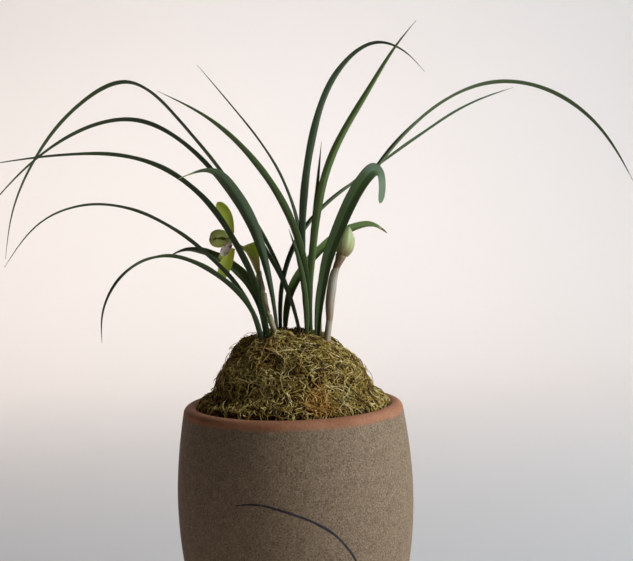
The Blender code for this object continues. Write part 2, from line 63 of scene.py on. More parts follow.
# ---- sizes of the pot's wall and of the mound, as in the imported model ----
POT_FOOT_RADIUS = 52.0 * MM
POT_BELLY_HEIGHT = 118.0 * MM
POT_MOUTH_RADIUS = 73.0 * MM
POT_LIP_WIDTH = 10.0 * MM
POT_LIP_DEPTH = 12.0 * MM
POT_WALL = 7.0 * MM
POT_FLOOR = 10.0 * MM
POT_SWELL = 0.82
POT_SHOULDER = 1.8
MOSS_RISE = 48.0 * MM
MOSS_OUTLINE = [
    (1, 0), (0.965, 0.045), (0.885, 0.12), (0.83, 0.25), (0.785, 0.4), (0.65, 0.65), (0.433, 0.87),
    (0.2, 0.973), (0, 1)]      # shares of the mouth's radius and of the rise
MOSS_SUNK = 1.8              # how far the mound's lumps are sunk, mm
MOUND_LEAN = 3 * MM          # how far its top leans towards -X
OLD_MOSS_PLACE = (19 * MM, -55 * MM, POT_TOP + 10 * MM)     # middle of a rusty tuft at the front
OLD_MOSS_RADIUS = 15.0 * MM
GLAZE_EDGE = 5.4 * MM        # how far down the outside the bare clay of the lip shows
GLAZE_WANDER = 1.4 * MM      # how far that edge wanders up and down
GLAZE_SOFTNESS = 1.2 * MM
BLADE_THICKNESS = 0.5 * MM
BASAL_THICKNESS = 0.4 * MM
COLLAR_WALL = 0.35 * MM
PETAL_THICKNESS = 0.45 * MM
PAPER_WALL = 0.25 * MM
STALK_RADIUS = 1.3 * MM
LONG_REACH = 60              # a leaf that reaches further out than this wanders sideways, mm
LONG_SWAY = 4.0
LEAF_FOLD = (62, 24)         # fold at the foot and beyond, degrees
CREASED_LEAF_FOLD = (62, 12)
BASAL_FOLD = (50, 40)

# ---- leaves: foot (x, y), heading in degrees from +X, curve (out, up), width, turn (foot, middle, tip) and
# looks: tone from dark 0 to bright 1, colour the tip turns to, share where that starts. Tip colours are
# 0.2 pale grey-green, 0.45 yellow-green, 0.7 tan, 1 brown ----
LEAVES = {
    "leaf_left_low_arch": (
        (-17.3, -9.2), 216,
        [(0, 0), (9, 25), (38, 54), (72, 66), (98, 58), (115, 33), (116, 16)], 7.2, (10, 10, 0),
        (0.22, 0.0, 1.0)),
    "leaf_left_mid_arch": (
        (-19.4, -7.2), 201,
        [(0, 0), (8, 30), (32, 62), (66, 88), (105, 99), (139, 89), (162, 62)], 7.2, (15, 0, 10),
        (0.28, 0.2, 0.97)),
    "leaf_left_long_level": (
        (-16.8, -5.4), 190,
        [(0, 0), (4, 36), (15, 64), (40, 103), (75, 126), (120, 131), (177, 125)], 8.4, (35, 20, 0),
        (0.20, 0.2, 0.97)),
    "leaf_left_broad": (
        (-17.8, 1.5), 130,
        [(0, 0), (5, 33), (23, 48.5), (57, 62), (90, 65.5), (117, 59.5)], 9.5, (0, -25, -45),
        (0.42, 0.45, 0.96)),
    "leaf_left_young": (
        (-14.6, -10.8), 180,
        [(0, 0), (2, 21), (4.5, 35), (4, 49)], 5.0, (40, 30, 20), (0.45, 0.0, 1.0)),
    "leaf_middle_folded": (
        (-8.6, -0.6), 236,
        [(0, 0), (4, 25), (8.5, 45), (13, 61), (21, 80), (31, 93), (46, 107), (61, 116), (81, 116),
         (96, 112)],
        10.4, (0, 40, 10), (0.05, 0.45, 0.90)),
    "leaf_back_right_long": (
        (-6.4, 8.2), 34,
        [(0, 0), (3, 46), (23, 82), (64, 112), (126, 146), (169, 167), (216, 182)], 8.4, (0, -20, -35),
        (0.35, 0.45, 0.96)),
    "leaf_back_right_short": (
        (-4.2, 9.8), 52,
        [(0, 0), (7, 34), (40, 64), (83, 78.5), (109, 79), (124, 73)], 8.2, (0, 20, 45), (0.55, 1.0, 0.93)),
    "leaf_main_left_arch": (
        (6.8, -4), 176,
        [(0, 0), (6, 31), (29, 78), (63, 127), (107, 154), (154, 143), (199, 108), (217, 88)],
        8.2, (0, 20, -30), (0.18, 0.2, 0.97)),
    "leaf_main_tall_arch": (
        (7.4, 0.8), 166,
        [(0, 0), (8, 35), (41, 102), (84, 157), (118, 182), (152, 170), (186, 137), (210, 92), (216, 63)],
        8.0, (0, 10, -20), (0.40, 0.2, 0.97)),
    "leaf_main_left_upper": (
        (9.5, -4.6), 203,
        [(0, 0), (-1, 47), (10, 90), (34, 126), (64, 152), (95, 168)], 6.8, (0, 40, 10),
        (0.55, 0.45, 0.93)),
    "leaf_main_left_fine": (
        (10.2, 7), 142,
        [(0, 0), (0, 39), (7, 88), (31, 133), (64, 169), (93, 197)], 5.6, (0, 25, 20), (0.35, 0.45, 0.93)),
    "leaf_main_young": (
        (9.6, -8), 205,
        [(0, 0), (0, 38), (4, 61), (10, 80)], 5.2, (0, 40, 20), (0.55, 0.0, 1.0)),
    "leaf_main_centre_arch": (
        (12.2, 1.6), -10,
        [(0, 0), (-3, 61), (-1, 99), (7, 144), (28, 187), (50, 199), (65, 194), (80, 179)],
        7.8, (0, -40, -10), (0.10, 0.7, 0.93)),
    "leaf_main_inner": (
        (13, 4.2), 20,
        [(0, 0), (2, 59), (7, 104), (11, 137)], 5.0, (0, 40, 30), (0.50, 0.7, 0.90)),
    "leaf_main_upright": (
        (14.1, -2.8), -20,
        [(0, 0), (-0.5, 34), (4, 79), (17, 126), (42, 167), (63, 196), (75, 209)], 6.6, (0, -50, -30),
        (0.70, 0.45, 0.97)),
    "leaf_main_right_arch": (
        (16.8, 2.4), 20,
        [(0, 0), (3, 39), (28, 94), (68, 143), (116, 173), (151, 178), (187, 170), (224, 145), (252, 106)],
        8.4, (0, -10, -20), (0.42, 1.0, 0.975)),
}

# the leaf that creases over: points (x, y, height above the crown) and the way its upper face looks
CREASED_LEAF = [
    (17, -6.6, 0), (19.5, -7, 30.7), (22, -8, 45.4), (25.1, -9.5, 59.3), (29.9, -11, 72.2), (38.8, -13, 92.2),
    (49.4, -12, 110), (54, -10, 115.2), (57.4, -7.5, 117.1), (60.8, -5, 115.1), (61.9, -4.4, 110.2),
    (61.8, -4.6, 103), (60.5, -5, 94.9)]
CREASED_LEAF_FACING = -90
CREASED_LEAF_WIDTH = 9.4
CREASED_LEAF_LOOKS = (0.28, 0.2, 0.83)

BASAL_SHEATHS = {
    "sheath_main_left": ((6.4, -7.6), 188, [(0, 0), (0.5, 12), (1.5, 22)], 4.4, (0, 0, 0)),
    "sheath_main_right": ((18.0, -0.6), 0, [(0, 0), (0.3, 10), (1, 19)], 4.2, (0, 0, 0)),
    "sheath_bud_stalk": (
        (19.9, -3.0), 10, [(0, 0), (-0.3, 17), (1.5, 35), (7, 53), (10.5, 62)], 3.4, (-30, -40, -40)),
}

# ---- flower stalk, budding stalk and what they carry: points (x, y, height above the crown) ----
FLOWER_STALK = [
    (-11, -7, 0), (-10.9, -7, 12), (-12.8, -6.2, 19), (-15.8, -2.4, 27), (-18.7, 2.2, 42), (-20.4, 4.9, 48),
    (-20.8, 5.6, 53)]
FLOWER_STALK_SHEATHS = ((0.16, 0.40), (0.46, 0.68), (0.74, 0.96))   # shares of the stalk's length
BUD_STALK = [
    (22.6, -4.2, 0), (24, -4.2, 9), (25.7, -3, 21), (26.2, -1.8, 30), (27.5, -1, 39), (30.6, 0.4, 52.5),
    (33.9, 1, 58.6)]
BUD_STALK_SHEATHS = ((0.0, 0.36, (0.6, 0.5, 0.5)), (0.30, 0.90, (0.3, 1.5, 0.7)))   # and how loose, mm
PEDICEL = [(-20.5, 6.2, 52.8), (-21.7, 6.6, 58.1), (-26.2, 7.2, 64.2), (-32.1, 7.8, 68.4), (-36.4, 8, 70.5)]
COLUMN = [(-38.1, 8, 71.2), (-40.7, 7.6, 72.4), (-43.7, 7.4, 72.2)]
COLUMN_RADIUS = 1.6 * MM
COLUMN_PROFILE = (0.5, 0.75, 0.85, 0.9, 0.95, 1.0, 0.85, 0.4)     # shares of that radius along it
BUD_AXIS = [(34.4, 1, 59.6), (37.3, 1, 70), (40.2, 1, 80)]
BUD_RADIUS = 6.4 * MM
BUD_SEAM = 0.05      # depth of its seams, a share of the radius

# points (x, y, height above the crown), the way the inner face looks at the foot, width, fold (foot, beyond)
FLORAL_BLADES = {
    "spathe": (
        [(-20.8, 4.3, 48.4), (-21.8, 4.2, 55.8), (-23.6, 4.2, 63), (-26.2, 4, 70.7)],
        -90, 11.5, (60, 35)),
    "sepal_dorsal": (
        [(-38.2, 9, 77.4), (-40.2, 9, 85.2), (-43, 8, 93), (-47, 6, 98.6)],
        -90, 8.8, (20, 15)),
    "sepal_near": (
        [(-37.8, 7, 67.9), (-40.6, 6, 61.3), (-43.4, 5.5, 54.7), (-45.8, 6, 47.4)],
        -90, 8.8, (20, 15)),
    "sepal_far": (
        [(-39.2, 12, 67.8), (-41.7, 17, 64.3), (-44.2, 22, 61.4), (-47.4, 27, 59.3)],
        -90, 8.6, (20, 15)),
    "petal_near": (
        [(-39.4, 7, 70.2), (-44.1, 6.5, 69.2), (-49.1, 6.5, 69.2), (-52.4, 7, 71.6), (-53.1, 7.5, 74.3)],
        180, 11.0, (50, 52)),
    "petal_far": (
        [(-39.4, 8, 75.6), (-42.2, 8, 78.7), (-47.2, 8, 80.1), (-51.6, 8, 78.2), (-53, 8, 74.3)],
        180, 13.0, (50, 52)),
    "lip": (
        [(-38.4, 4.4, 71), (-40.8, 3.2, 68.4), (-43.1, 2.2, 65.5), (-43.9, 2.6, 62.6)],
        -90, 6.2, (25, 20)),
    "bract_bud": (
        [(38.2, 1, 60.3), (41.6, 1, 63.7), (43.3, 1, 67.9), (43.9, 1, 73.1)],
        180, 6.4, (30, 40)),
}
# the shaded back of the hood, between the two petals, and its width
HOOD_BACK = [(-39.4, 10, 73.5), (-43, 10.4, 74.6), (-48, 10.4, 75), (-52.2, 9.6, 74.4)]
HOOD_BACK_WIDTH = 7.6
COLLAR = ((29.9, 0.35, 50.0), (31.6, 0.65, 54.6), (33.3, 0.95, 58.4), (34.5, 1.0, 61.6))
COLLAR_RADII = (1.8 * MM, 2.0 * MM, 2.5 * MM, 3.7 * MM)


# ---- plant finishes: colours along the length, keel colour, streak colour, roughness, glow from inside ----
PLANT_FINISHES = {
    "sepal_green": (
        [(0.0, (0.68, 0.66, 0.10)), (0.6, (0.62, 0.64, 0.06)), (1.0, (0.48, 0.54, 0.04))],
        (0.46, 0.54, 0.05), (0.76, 0.76, 0.18), 0.5, 0.25),
    "hood_green": (
        [(0.0, (0.62, 0.66, 0.14)), (0.7, (0.76, 0.76, 0.18)), (1.0, (0.62, 0.56, 0.07))],
        (0.50, 0.54, 0.06), (0.82, 0.82, 0.32), 0.5, 0.25),
    "spathe_green": (
        [(0.0, (0.52, 0.36, 0.20)), (0.45, (0.62, 0.46, 0.22)), (0.70, (0.48, 0.52, 0.05)),
         (0.94, (0.46, 0.54, 0.03)), (1.0, (0.74, 0.76, 0.22))],
        (0.46, 0.46, 0.08), (0.64, 0.62, 0.20), 0.55, 0.2),
    "lip_white": (
        [(0.0, (0.56, 0.36, 0.26)), (0.75, (0.72, 0.56, 0.42)), (1.0, (0.85, 0.80, 0.70))],
        (0.52, 0.24, 0.16), (0.78, 0.62, 0.50), 0.45, 0.15),
    "column_cream": (
        [(0.0, (0.36, 0.40, 0.12)), (1.0, (0.62, 0.56, 0.26))],
        (0.45, 0.45, 0.18), (0.58, 0.52, 0.28), 0.4, 0.15),
    "stalk_green": (
        [(0.0, (0.40, 0.25, 0.12)), (0.4, (0.44, 0.36, 0.15)), (1.0, (0.42, 0.42, 0.13))],
        (0.24, 0.24, 0.12), (0.36, 0.32, 0.20), 0.5, 0.1),
    "sheath_paper": (
        [(0.0, (0.40, 0.26, 0.15)), (0.35, (0.50, 0.38, 0.27)), (0.75, (0.62, 0.54, 0.42)),
         (1.0, (0.46, 0.38, 0.22))],
        (0.36, 0.24, 0.14), (0.24, 0.13, 0.07), 0.62, 0.15),
    "sheath_tan": (
        [(0.0, (0.34, 0.22, 0.13)), (0.5, (0.46, 0.34, 0.18)), (1.0, (0.48, 0.46, 0.19))],
        (0.25, 0.18, 0.12), (0.15, 0.10, 0.07), 0.6, 0.1),
    "collar_brown": (
        [(0.0, (0.16, 0.08, 0.04)), (0.6, (0.24, 0.14, 0.07)), (1.0, (0.30, 0.24, 0.08))],
        (0.2, 0.1, 0.05), (0.40, 0.28, 0.18), 0.6, 0.1),
    "wrap_green": (
        [(0.0, (0.36, 0.32, 0.12)), (0.5, (0.30, 0.34, 0.08)), (1.0, (0.36, 0.38, 0.14))],
        (0.34, 0.36, 0.12), (0.46, 0.44, 0.22), 0.55, 0.1),
    "wrap_brown": (
        [(0.0, (0.15, 0.08, 0.06)), (1.0, (0.09, 0.055, 0.05))],
        (0.1, 0.06, 0.05), (0.24, 0.17, 0.15), 0.6, 0.0),
    "bud_green": (
        [(0.0, (0.16, 0.08, 0.02)), (0.22, (0.30, 0.23, 0.06)), (0.45, (0.50, 0.48, 0.19)),
         (1.0, (0.42, 0.46, 0.15))],
        (0.44, 0.42, 0.15), (0.60, 0.58, 0.33), 0.5, 0.25),
    "hood_shadow": (
        [(0.0, (0.30, 0.26, 0.05)), (1.0, (0.46, 0.44, 0.09))],
        (0.2, 0.2, 0.04), (0.5, 0.46, 0.14), 0.6, 0.15),
    "bract_clear": (
        [(0.0, (0.34, 0.22, 0.10)), (0.5, (0.52, 0.50, 0.32)), (1.0, (0.66, 0.66, 0.52))],
        (0.5, 0.46, 0.3), (0.62, 0.58, 0.44), 0.5, 0.15),
}
FLORAL_FINISHES = {"spathe": "spathe_green", "lip": "lip_white", "bract_bud": "bract_clear",
                   "petal_near": "hood_green", "petal_far": "hood_green"}

# ---- moss: colours by tone, from the dark strands, darkened low down as painted shade, to the bright ones, fresh and rusty ----
MOSS_COLOURS = [(0.0, (0.030, 0.014, 0.007)), (0.25, (0.12, 0.060, 0.020)), (0.5, (0.34, 0.195, 0.045)),
                (0.75, (0.64, 0.45, 0.10)), (1.0, (0.90, 0.70, 0.34))]
MOSS_RUST = [(0.0, (0.030, 0.014, 0.007)), (0.4, (0.30, 0.12, 0.030)), (1.0, (0.85, 0.44, 0.09))]
# strands: name, count, seed, length, thickness, lift (h0 low, h0 high, h1 and h2 high), curl, tone, stations,
# and the zone they start in, as shares of the way up the mound
# the lower-lying sets take darker tones: painted shade deep in the moss
MOSS_STRANDS = [
    ("moss_deep", 3000, 11, (6, 13), (0.8, 1.3), (-1.8, 0.0, 0.8), (0.10, 0.40), 0.22, 7, (0.12, 1.0)),
    ("moss_curls", 3600, 12, (5, 11), (0.6, 1.0), (-0.8, 1.0, 1.2), (0.15, 0.60), 0.40, 7, (0.12, 1.0)),
    ("moss_curls_top", 3000, 13, (4, 9), (0.5, 0.85), (0.0, 1.8, 1.4), (0.15, 0.60), 0.56, 7, (0.12, 1.0)),
    ("moss_bits", 5000, 14, (1.6, 4.2), (0.7, 1.15), (-0.8, 1.8, 1.0), (0.05, 0.40), 0.56, 4, (0.12, 1.0)),
    ("moss_stray", 320, 15, (7, 15), (0.35, 0.6), (0.6, 2.0, 2.6), (0.15, 0.55), 0.60, 10, (0.12, 1.0)),
    ("moss_roots", 26, 16, (16, 34), (0.9, 1.3), (0.8, 1.8, 1.0), (0.08, 0.2), 0.95, 14, (0.45, 0.95)),
]

# ---- brushed strokes on the pot: places (degrees from +X, height in millimetres) and width ----
STROKES = [
    ([(-116.5, 128.5), (-105.7, 130), (-96.4, 127.3), (-85.7, 122.1), (-77.8, 116.5), (-71.5, 110.1),
      (-66.3, 102.3), (-61.6, 93.1), (-57, 74), (-54, 50), (-52.5, 28)], 1.5),
    ([(-60, 66), (-57.5, 77), (-54.8, 82.5), (-51.8, 83), (-48, 76), (-46, 64)], 1.9),
    ([(-52, 26), (-48, 44), (-41, 58), (-30, 67), (-18, 67)], 2.0),
    ([(-53, 27), (-62, 50), (-75, 66), (-90, 74), (-103, 72)], 1.7),
    ([(-51, 26), (-45, 42), (-34, 54), (-22, 58)], 1.5),
    ([(-54, 26), (-63, 38), (-73, 45), (-84, 46)], 1.4),
]

# ---- studio: each light's place, what it points at, size, power, colour and spread in degrees ----
AREA_LIGHTS = {
    "window_right": ((2.1, -0.57, 1.2), (0, 0, 0.22), (1.2, 1.6), 62, (0.76, 0.90, 1.0), 180),
    "wall_wash": ((-0.6, 0.9, 2.6), (-0.5, 2.0, 0.5), (2.5, 1.2), 18, (1.0, 0.93, 0.86), 90),
}
SURROUND_COLOUR = (0.86, 0.79, 0.76)
SURROUND_LIGHT = 0.04      # how strongly the surround lights, against 1 as it is seen
WALL_COLOUR = (0.86, 0.80, 0.775)
CAMERA_LENS = 64.5
CAMERA_PLACE = (0.0177, -0.750, 0.3060)
CAMERA_DOWN = 3.5          # degrees
CAMERA_ROLL = 1.5


# ==== curves and meshes ====
def smooth_path(stations, count):
    """count points evenly spaced along the natural cubic spline through the stations.

    With chord lengths h, slopes d and second derivatives M: h0 M0 + 2 (h0 + h1) M1 + h1 M2 = 6 (d1 - d0),
    and M = 0 at both ends.
    """
    knots = np.asarray(stations, float)
    h = np.linalg.norm(np.diff(knots, axis=0), axis=1)
    k = np.concatenate([[0.0], np.cumsum(h)])
    size = len(knots)
    slopes = np.diff(knots, axis=0) / h[:, None]
    system = np.eye(size)
    right = np.zeros_like(knots)
    inner = np.arange(1, size - 1)
    system[inner, inner - 1] = h[:-1]
    system[inner, inner] = 2 * (h[:-1] + h[1:])
    system[inner, inner + 1] = h[1:]
    right[1:-1] = 6 * np.diff(slopes, axis=0)
    bend = np.linalg.solve(system, right)
    fine = np.linspace(0, k[-1], 60 * size)
    span = np.clip(np.searchsorted(k, fine, side="right") - 1, 0, size - 2)
    step = h[span][:, None]
    a = (k[span + 1] - fine)[:, None]
    b = (fine - k[span])[:, None]
    curve = (bend[span] * a ** 3 + bend[span + 1] * b ** 3) / (6 * step)
    curve += (knots[span] / step - bend[span] * step / 6) * a
    curve += (knots[span + 1] / step - bend[span + 1] * step / 6) * b
    lengths = np.concatenate([[0.0], np.cumsum(np.linalg.norm(np.diff(curve, axis=0), axis=1))])
    wanted = np.linspace(0, lengths[-1], count)
    return np.stack([np.interp(wanted, lengths, column) for column in curve.T], axis=1)


def unit(vectors):
    return vectors / np.linalg.norm(vectors, axis=-1, keepdims=True)


def through_three(t, first, middle, last):
    """The parabola that is first, middle and last at t = 0, 1/2 and 1."""
    return first + (4 * middle - 3 * first - last) * t + (2 * first - 4 * middle + 2 * last) * t ** 2


def smooth_step(t, start, end):
    """0 up to start, 1 from end on, and 3 s^2 - 2 s^3 between."""
    s = np.clip((t - start) / (end - start), 0, 1)
    return s * s * (3 - 2 * s)


def turns(count):
    """count angles evenly round a circle."""
    return np.arange(count) * math.tau / count


def crown_path(places, count):
    """A smooth path through places given as x, y and height above the crown in millimetres."""
    return smooth_path(np.asarray(places, float) * MM + np.array([0, 0, CROWN]), count)


def stretch_over(values, count):
    """Evenly spaced values as count values, straight between them."""
    return np.interp(np.linspace(0, 1, count), np.linspace(0, 1, len(values)), values)


def part_of(path, first, last, count):
    """The stretch of a path between two shares of its length."""
    share = np.linspace(0, 1, len(path))
    wanted = np.linspace(first, last, count)
    return np.stack([np.interp(wanted, share, column) for column in path.T], axis=1)


def grid_quads(rows, columns, wrap_rows=False):
    """Quads between rings of points laid one after another, and their uv.

    Each ring of columns points is closed. u runs 0 to 2 round a ring, v 0 to 1 over the rows. With
    wrap_rows the last ring joins the first again.
    """
    count = rows if wrap_rows else rows - 1
    row, side = np.meshgrid(np.arange(count), np.arange(columns), indexing="ij")
    after = (side + 1) % columns
    low = row * columns
    high = (row + 1) % rows * columns
    quads = np.stack([low + side, low + after, high + after, high + side], axis=-1).reshape(-1, 4)
    u0 = 2 * side / columns
    u1 = 2 * (side + 1) / columns
    v0 = row / count
    v1 = (row + 1) / count
    corners = [np.stack([u0, v0], -1), np.stack([u1, v0], -1), np.stack([u1, v1], -1), np.stack([u0, v1], -1)]
    return quads, np.stack(corners, -2).reshape(-1, 4, 2)


def closed_skin(rows, columns):
    """grid_quads with each end closed by quads between the two halves of its ring."""
    quads, uv = grid_quads(rows, columns)
    half = columns // 2
    j = np.arange(half - 1)
    first = np.stack([j + 1, j, columns - 1 - j, columns - 2 - j], -1)
    last = first[:, ::-1] + (rows - 1) * columns
    caps = np.concatenate([first, last])
    cap_uv = np.zeros((len(caps), 4, 2))
    cap_uv[..., 0] = (caps % columns) * 2 / columns
    cap_uv[len(first):, :, 1] = 1
    return np.concatenate([quads, caps]), np.concatenate([uv, cap_uv])


def add_piece(name, points, quads, material, uv=None, tones=None):
    """A mesh object from points (n, 3) and quads (m, 4); uv is (m, 4, 2), tones one value per point."""
    mesh = bpy.data.meshes.new(name)
    quads = np.asarray(quads, np.int32).reshape(-1, 4)
    mesh.vertices.add(len(points))
    mesh.vertices.foreach_set("co", np.asarray(points, np.float32).ravel())
    mesh.loops.add(quads.size)
    mesh.loops.foreach_set("vertex_index", quads.ravel())
    mesh.polygons.add(len(quads))
    mesh.polygons.foreach_set("loop_start", np.arange(0, quads.size, 4, dtype=np.int32))
    mesh.update(calc_edges=True)
    mesh.shade_smooth()
    if uv is not None:
        mesh.uv_layers.new(name="UVMap").uv.foreach_set("vector", np.asarray(uv, np.float32).ravel())
    if tones is not None:
        mesh.attributes.new("tone", "FLOAT", "POINT").data.foreach_set("value", np.asarray(tones, np.float32))
    mesh.validate()
    mesh.materials.append(material)
    piece = bpy.data.objects.new(name, mesh)
    bpy.context.collection.objects.link(piece)
    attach(piece, "root")
    return piece


def add_skin(name, rings, material, tone=0.5):
    """A closed piece from rings (rows, columns, 3), each half of a ring being one of its faces."""
    rows, columns = rings.shape[:2]
    quads, uv = closed_skin(rows, columns)
    return add_piece(name, rings.reshape(-1, 3), quads, material, uv, np.full(rows * columns, tone))


def stand_for(piece, node):
    """piece replaces the CAD node of that name, which is hidden."""
    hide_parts(node)
    return piece


# ==== nodes and materials ====
def set_inputs(tree, node, inputs):
    """A socket given as an input is linked, anything else is the input's value."""
    for key, value in inputs.items():
        if isinstance(value, bpy.types.NodeSocket):
            tree.links.new(value, node.inputs[key])
        else:
            node.inputs[key].default_value = value


def add_node(tree, kind, inputs=None, **settings):
    made = tree.nodes.new(kind)
    for key, value in settings.items():
        setattr(made, key, value)
    set_inputs(tree, made, inputs or {})
    return made


def ramp(tree, factor, stops):
    """A colour ramp through (place, colour) stops, and its colour output."""
    made = add_node(tree, "ShaderNodeValToRGB", {0: factor})
    elements = made.color_ramp.elements
    while len(elements) < len(stops):
        elements.new(0.5)
    for element, (place, colour) in zip(elements, stops):
        element.position = place
        element.color = (*colour, 1)
    return made.outputs[0]


def mix_colour(tree, factor, first, second):
    """The mix of two colours, each a socket or a colour."""
    made = add_node(tree, "ShaderNodeMix", data_type="RGBA")
    first, second = ((*value, 1) if isinstance(value, tuple) else value for value in (first, second))
    set_inputs(tree, made, {0: factor, 6: first, 7: second})
    return made.outputs[2]


def maths(tree, operation, first, second=0.0, clamp=False):
    made = add_node(tree, "ShaderNodeMath", {0: first, 1: second}, operation=operation, use_clamp=clamp)
    return made.outputs[0]


def times(tree, first, second, clamp=False):
    return maths(tree, "MULTIPLY", first, second, clamp)


def remap(tree, value, low, high, to_low=0.0, to_high=1.0):
    """value carried from low .. high to to_low .. to_high, held at both ends."""
    made = add_node(tree, "ShaderNodeMapRange", {
        "Value": value, "From Min": low, "From Max": high, "To Min": to_low, "To Max": to_high})
    return made.outputs[0]


def noise(tree, vector, scale, detail=2.0, roughness=0.5):
    made = add_node(tree, "ShaderNodeTexNoise", {
        "Vector": vector, "Scale": scale, "Detail": detail, "Roughness": roughness})
    return made.outputs[0]


def own_place(tree):
    """The object's own coordinates."""
    return add_node(tree, "ShaderNodeTexCoord").outputs["Object"]


def new_material(name):
    """An empty Principled material: (material, its node tree, its Principled node)."""
    material = bpy.data.materials.new(name)
    material.use_nodes = True
    tree = material.node_tree
    return material, tree, tree.nodes["Principled BSDF"]


def bump(tree, height, strength, distance):
    made = add_node(tree, "ShaderNodeBump", {"Strength": strength, "Distance": distance, "Height": height})
    return made.outputs[0]


def new_group(name, vector, numbers, outputs):
    """An empty shader node group with named sockets: (tree, its input node, its output node)."""
    tree = bpy.data.node_groups.new(name, "ShaderNodeTree")
    tree.interface.new_socket(vector, in_out="INPUT", socket_type="NodeSocketVector")
    for title in numbers:
        tree.interface.new_socket(title, in_out="INPUT", socket_type="NodeSocketFloat")
    for title in outputs:
        tree.interface.new_socket(title, in_out="OUTPUT", socket_type="NodeSocketFloat")
    return tree, tree.nodes.new("NodeGroupInput"), tree.nodes.new("NodeGroupOutput")


def use_group(tree, group, inputs):
    return add_node(tree, "ShaderNodeGroup", inputs, node_tree=group).outputs


def make_rib_group():
    """Ribs along a blade: streaks of noise stretched along v, and the keel at u = 1/2 and 3/2."""
    tree, given, result = new_group(
        "Ribs along a blade", "UV", ["Ribs", "Stretch", "Seed", "Keel Width"],
        ["Streaks", "Keel", "Height", "Underside", "Along"])
    uv = given.outputs
    apart = add_node(tree, "ShaderNodeSeparateXYZ", {0: uv["UV"]})
    u, v = apart.outputs[0], apart.outputs[1]
    round_ribs = times(tree, u, uv["Ribs"])
    along = times(tree, v, uv["Stretch"])
    place = add_node(tree, "ShaderNodeCombineXYZ", {0: round_ribs, 1: along, 2: uv["Seed"]})
    streaks = noise(tree, place.outputs[0], 1.0, 3.0, 0.6)
    wave = maths(tree, "SINE", times(tree, round_ribs, math.pi))
    off = maths(tree, "ABSOLUTE", maths(tree, "SUBTRACT", maths(tree, "FRACT", u), 0.5))
    keel = maths(tree, "SUBTRACT", 1.0, maths(tree, "DIVIDE", off, uv["Keel Width"]), clamp=True)
    height = maths(tree, "ADD", times(tree, wave, 0.4), streaks)
    under = maths(tree, "GREATER_THAN", u, 1.0)
    values = {"Streaks": streaks, "Keel": keel, "Height": height, "Underside": under, "Along": v}
    set_inputs(tree, result, values)
    return tree


def make_grain_group():
    """Fired grains: noise above and below a threshold gives dark and light specks, and a grainy height."""
    tree, given, result = new_group(
        "Fired grains", "Vector", ["Scale", "Amount"], ["Dark", "Light", "Height"])
    place, scale, amount = (given.outputs[title] for title in ("Vector", "Scale", "Amount"))
    fine = noise(tree, place, scale, 2.0)
    cells = add_node(tree, "ShaderNodeTexVoronoi", {"Vector": place, "Scale": scale}).outputs["Distance"]
    set_inputs(tree, result, {
        "Dark": times(tree, remap(tree, fine, 0.54, 0.68), amount),
        "Light": times(tree, remap(tree, fine, 0.46, 0.32), amount),
        "Height": maths(tree, "ADD", fine, times(tree, cells, 0.5))})
    return tree


def make_leaf_material(ribs):
    """Dark satin green with fine ribs, a paler keel (midrib colour and painted highlight) and underside, a
    tone per leaf and a turning tip.
    """
    material, tree, shader = new_material("leaf_green")
    uv = add_node(tree, "ShaderNodeUVMap", uv_map="UVMap").outputs[0]
    tone = add_node(tree, "ShaderNodeAttribute", attribute_name="tone").outputs["Fac"]
    dry = add_node(tree, "ShaderNodeAttribute", attribute_name="dry").outputs["Fac"]
    rib = use_group(tree, ribs, {"UV": uv, "Ribs": 26.0, "Stretch": 2.5, "Seed": tone, "Keel Width": 0.07})
    green = ramp(tree, tone, [(0.0, (0.020, 0.036, 0.009)), (0.35, (0.042, 0.074, 0.014)),
                              (0.7, (0.120, 0.175, 0.020)), (1.0, (0.22, 0.30, 0.03))])
    lighter = mix_colour(tree, 0.5, green, (0.18, 0.22, 0.08))
    streaked = mix_colour(tree, times(tree, rib["Streaks"], 0.55), green, lighter)
    # the paler keel: partly midrib colour, partly a painted highlight along the groove
    keeled = mix_colour(tree, times(tree, rib["Keel"], 0.35), streaked, (0.17, 0.21, 0.09))
    under = mix_colour(tree, times(tree, rib["Underside"], 0.30), keeled, (0.085, 0.115, 0.06))
    tip = ramp(tree, dry, [(0.0, (0.10, 0.14, 0.07)), (0.2, (0.17, 0.215, 0.12)), (0.45, (0.30, 0.30, 0.11)),
                           (0.7, (0.42, 0.31, 0.15)), (1.0, (0.11, 0.055, 0.025))])
    blend = times(tree, dry, 5.0, clamp=True)
    set_inputs(tree, shader, {
        "Base Color": mix_colour(tree, blend, under, tip),
        "Roughness": remap(tree, rib["Streaks"], 0.0, 1.0, 0.42, 0.60),
        "Specular IOR Level": 0.28,
        "Normal": bump(tree, rib["Height"], 0.3, 0.12 * MM)})
    return material


def make_plant_material(name, ribs):
    """A thin plant part: colours along its length, with streaks and a keel of their own colours."""
    stops, keel, streak, roughness, glow = PLANT_FINISHES[name]
    material, tree, shader = new_material(name)
    uv = add_node(tree, "ShaderNodeUVMap", uv_map="UVMap").outputs[0]
    rib = use_group(tree, ribs, {"UV": uv, "Ribs": 16.0, "Stretch": 1.6, "Keel Width": 0.06})
    thin = remap(tree, rib["Streaks"], 0.48, 0.72)
    streaked = mix_colour(tree, thin, ramp(tree, rib["Along"], stops), streak)
    colour = mix_colour(tree, times(tree, rib["Keel"], 0.35), streaked, keel)
    if name == "lip_white":
        colour = add_blotches(tree, colour)
    set_inputs(tree, shader, {
        "Base Color": colour, "Roughness": roughness, "Normal": bump(tree, rib["Height"], 0.3, 0.1 * MM),
        "Subsurface Weight": glow, "Subsurface Radius": (0.4, 0.5, 0.15), "Subsurface Scale": 3 * MM})
    return material


def add_blotches(tree, colour):
    """Red-brown blotches over a colour, where noise on the object's own place is high."""
    place = own_place(tree)
    blotch = remap(tree, noise(tree, place, 420.0, 1.0), 0.56, 0.62)
    return mix_colour(tree, blotch, colour, (0.26, 0.07, 0.035))


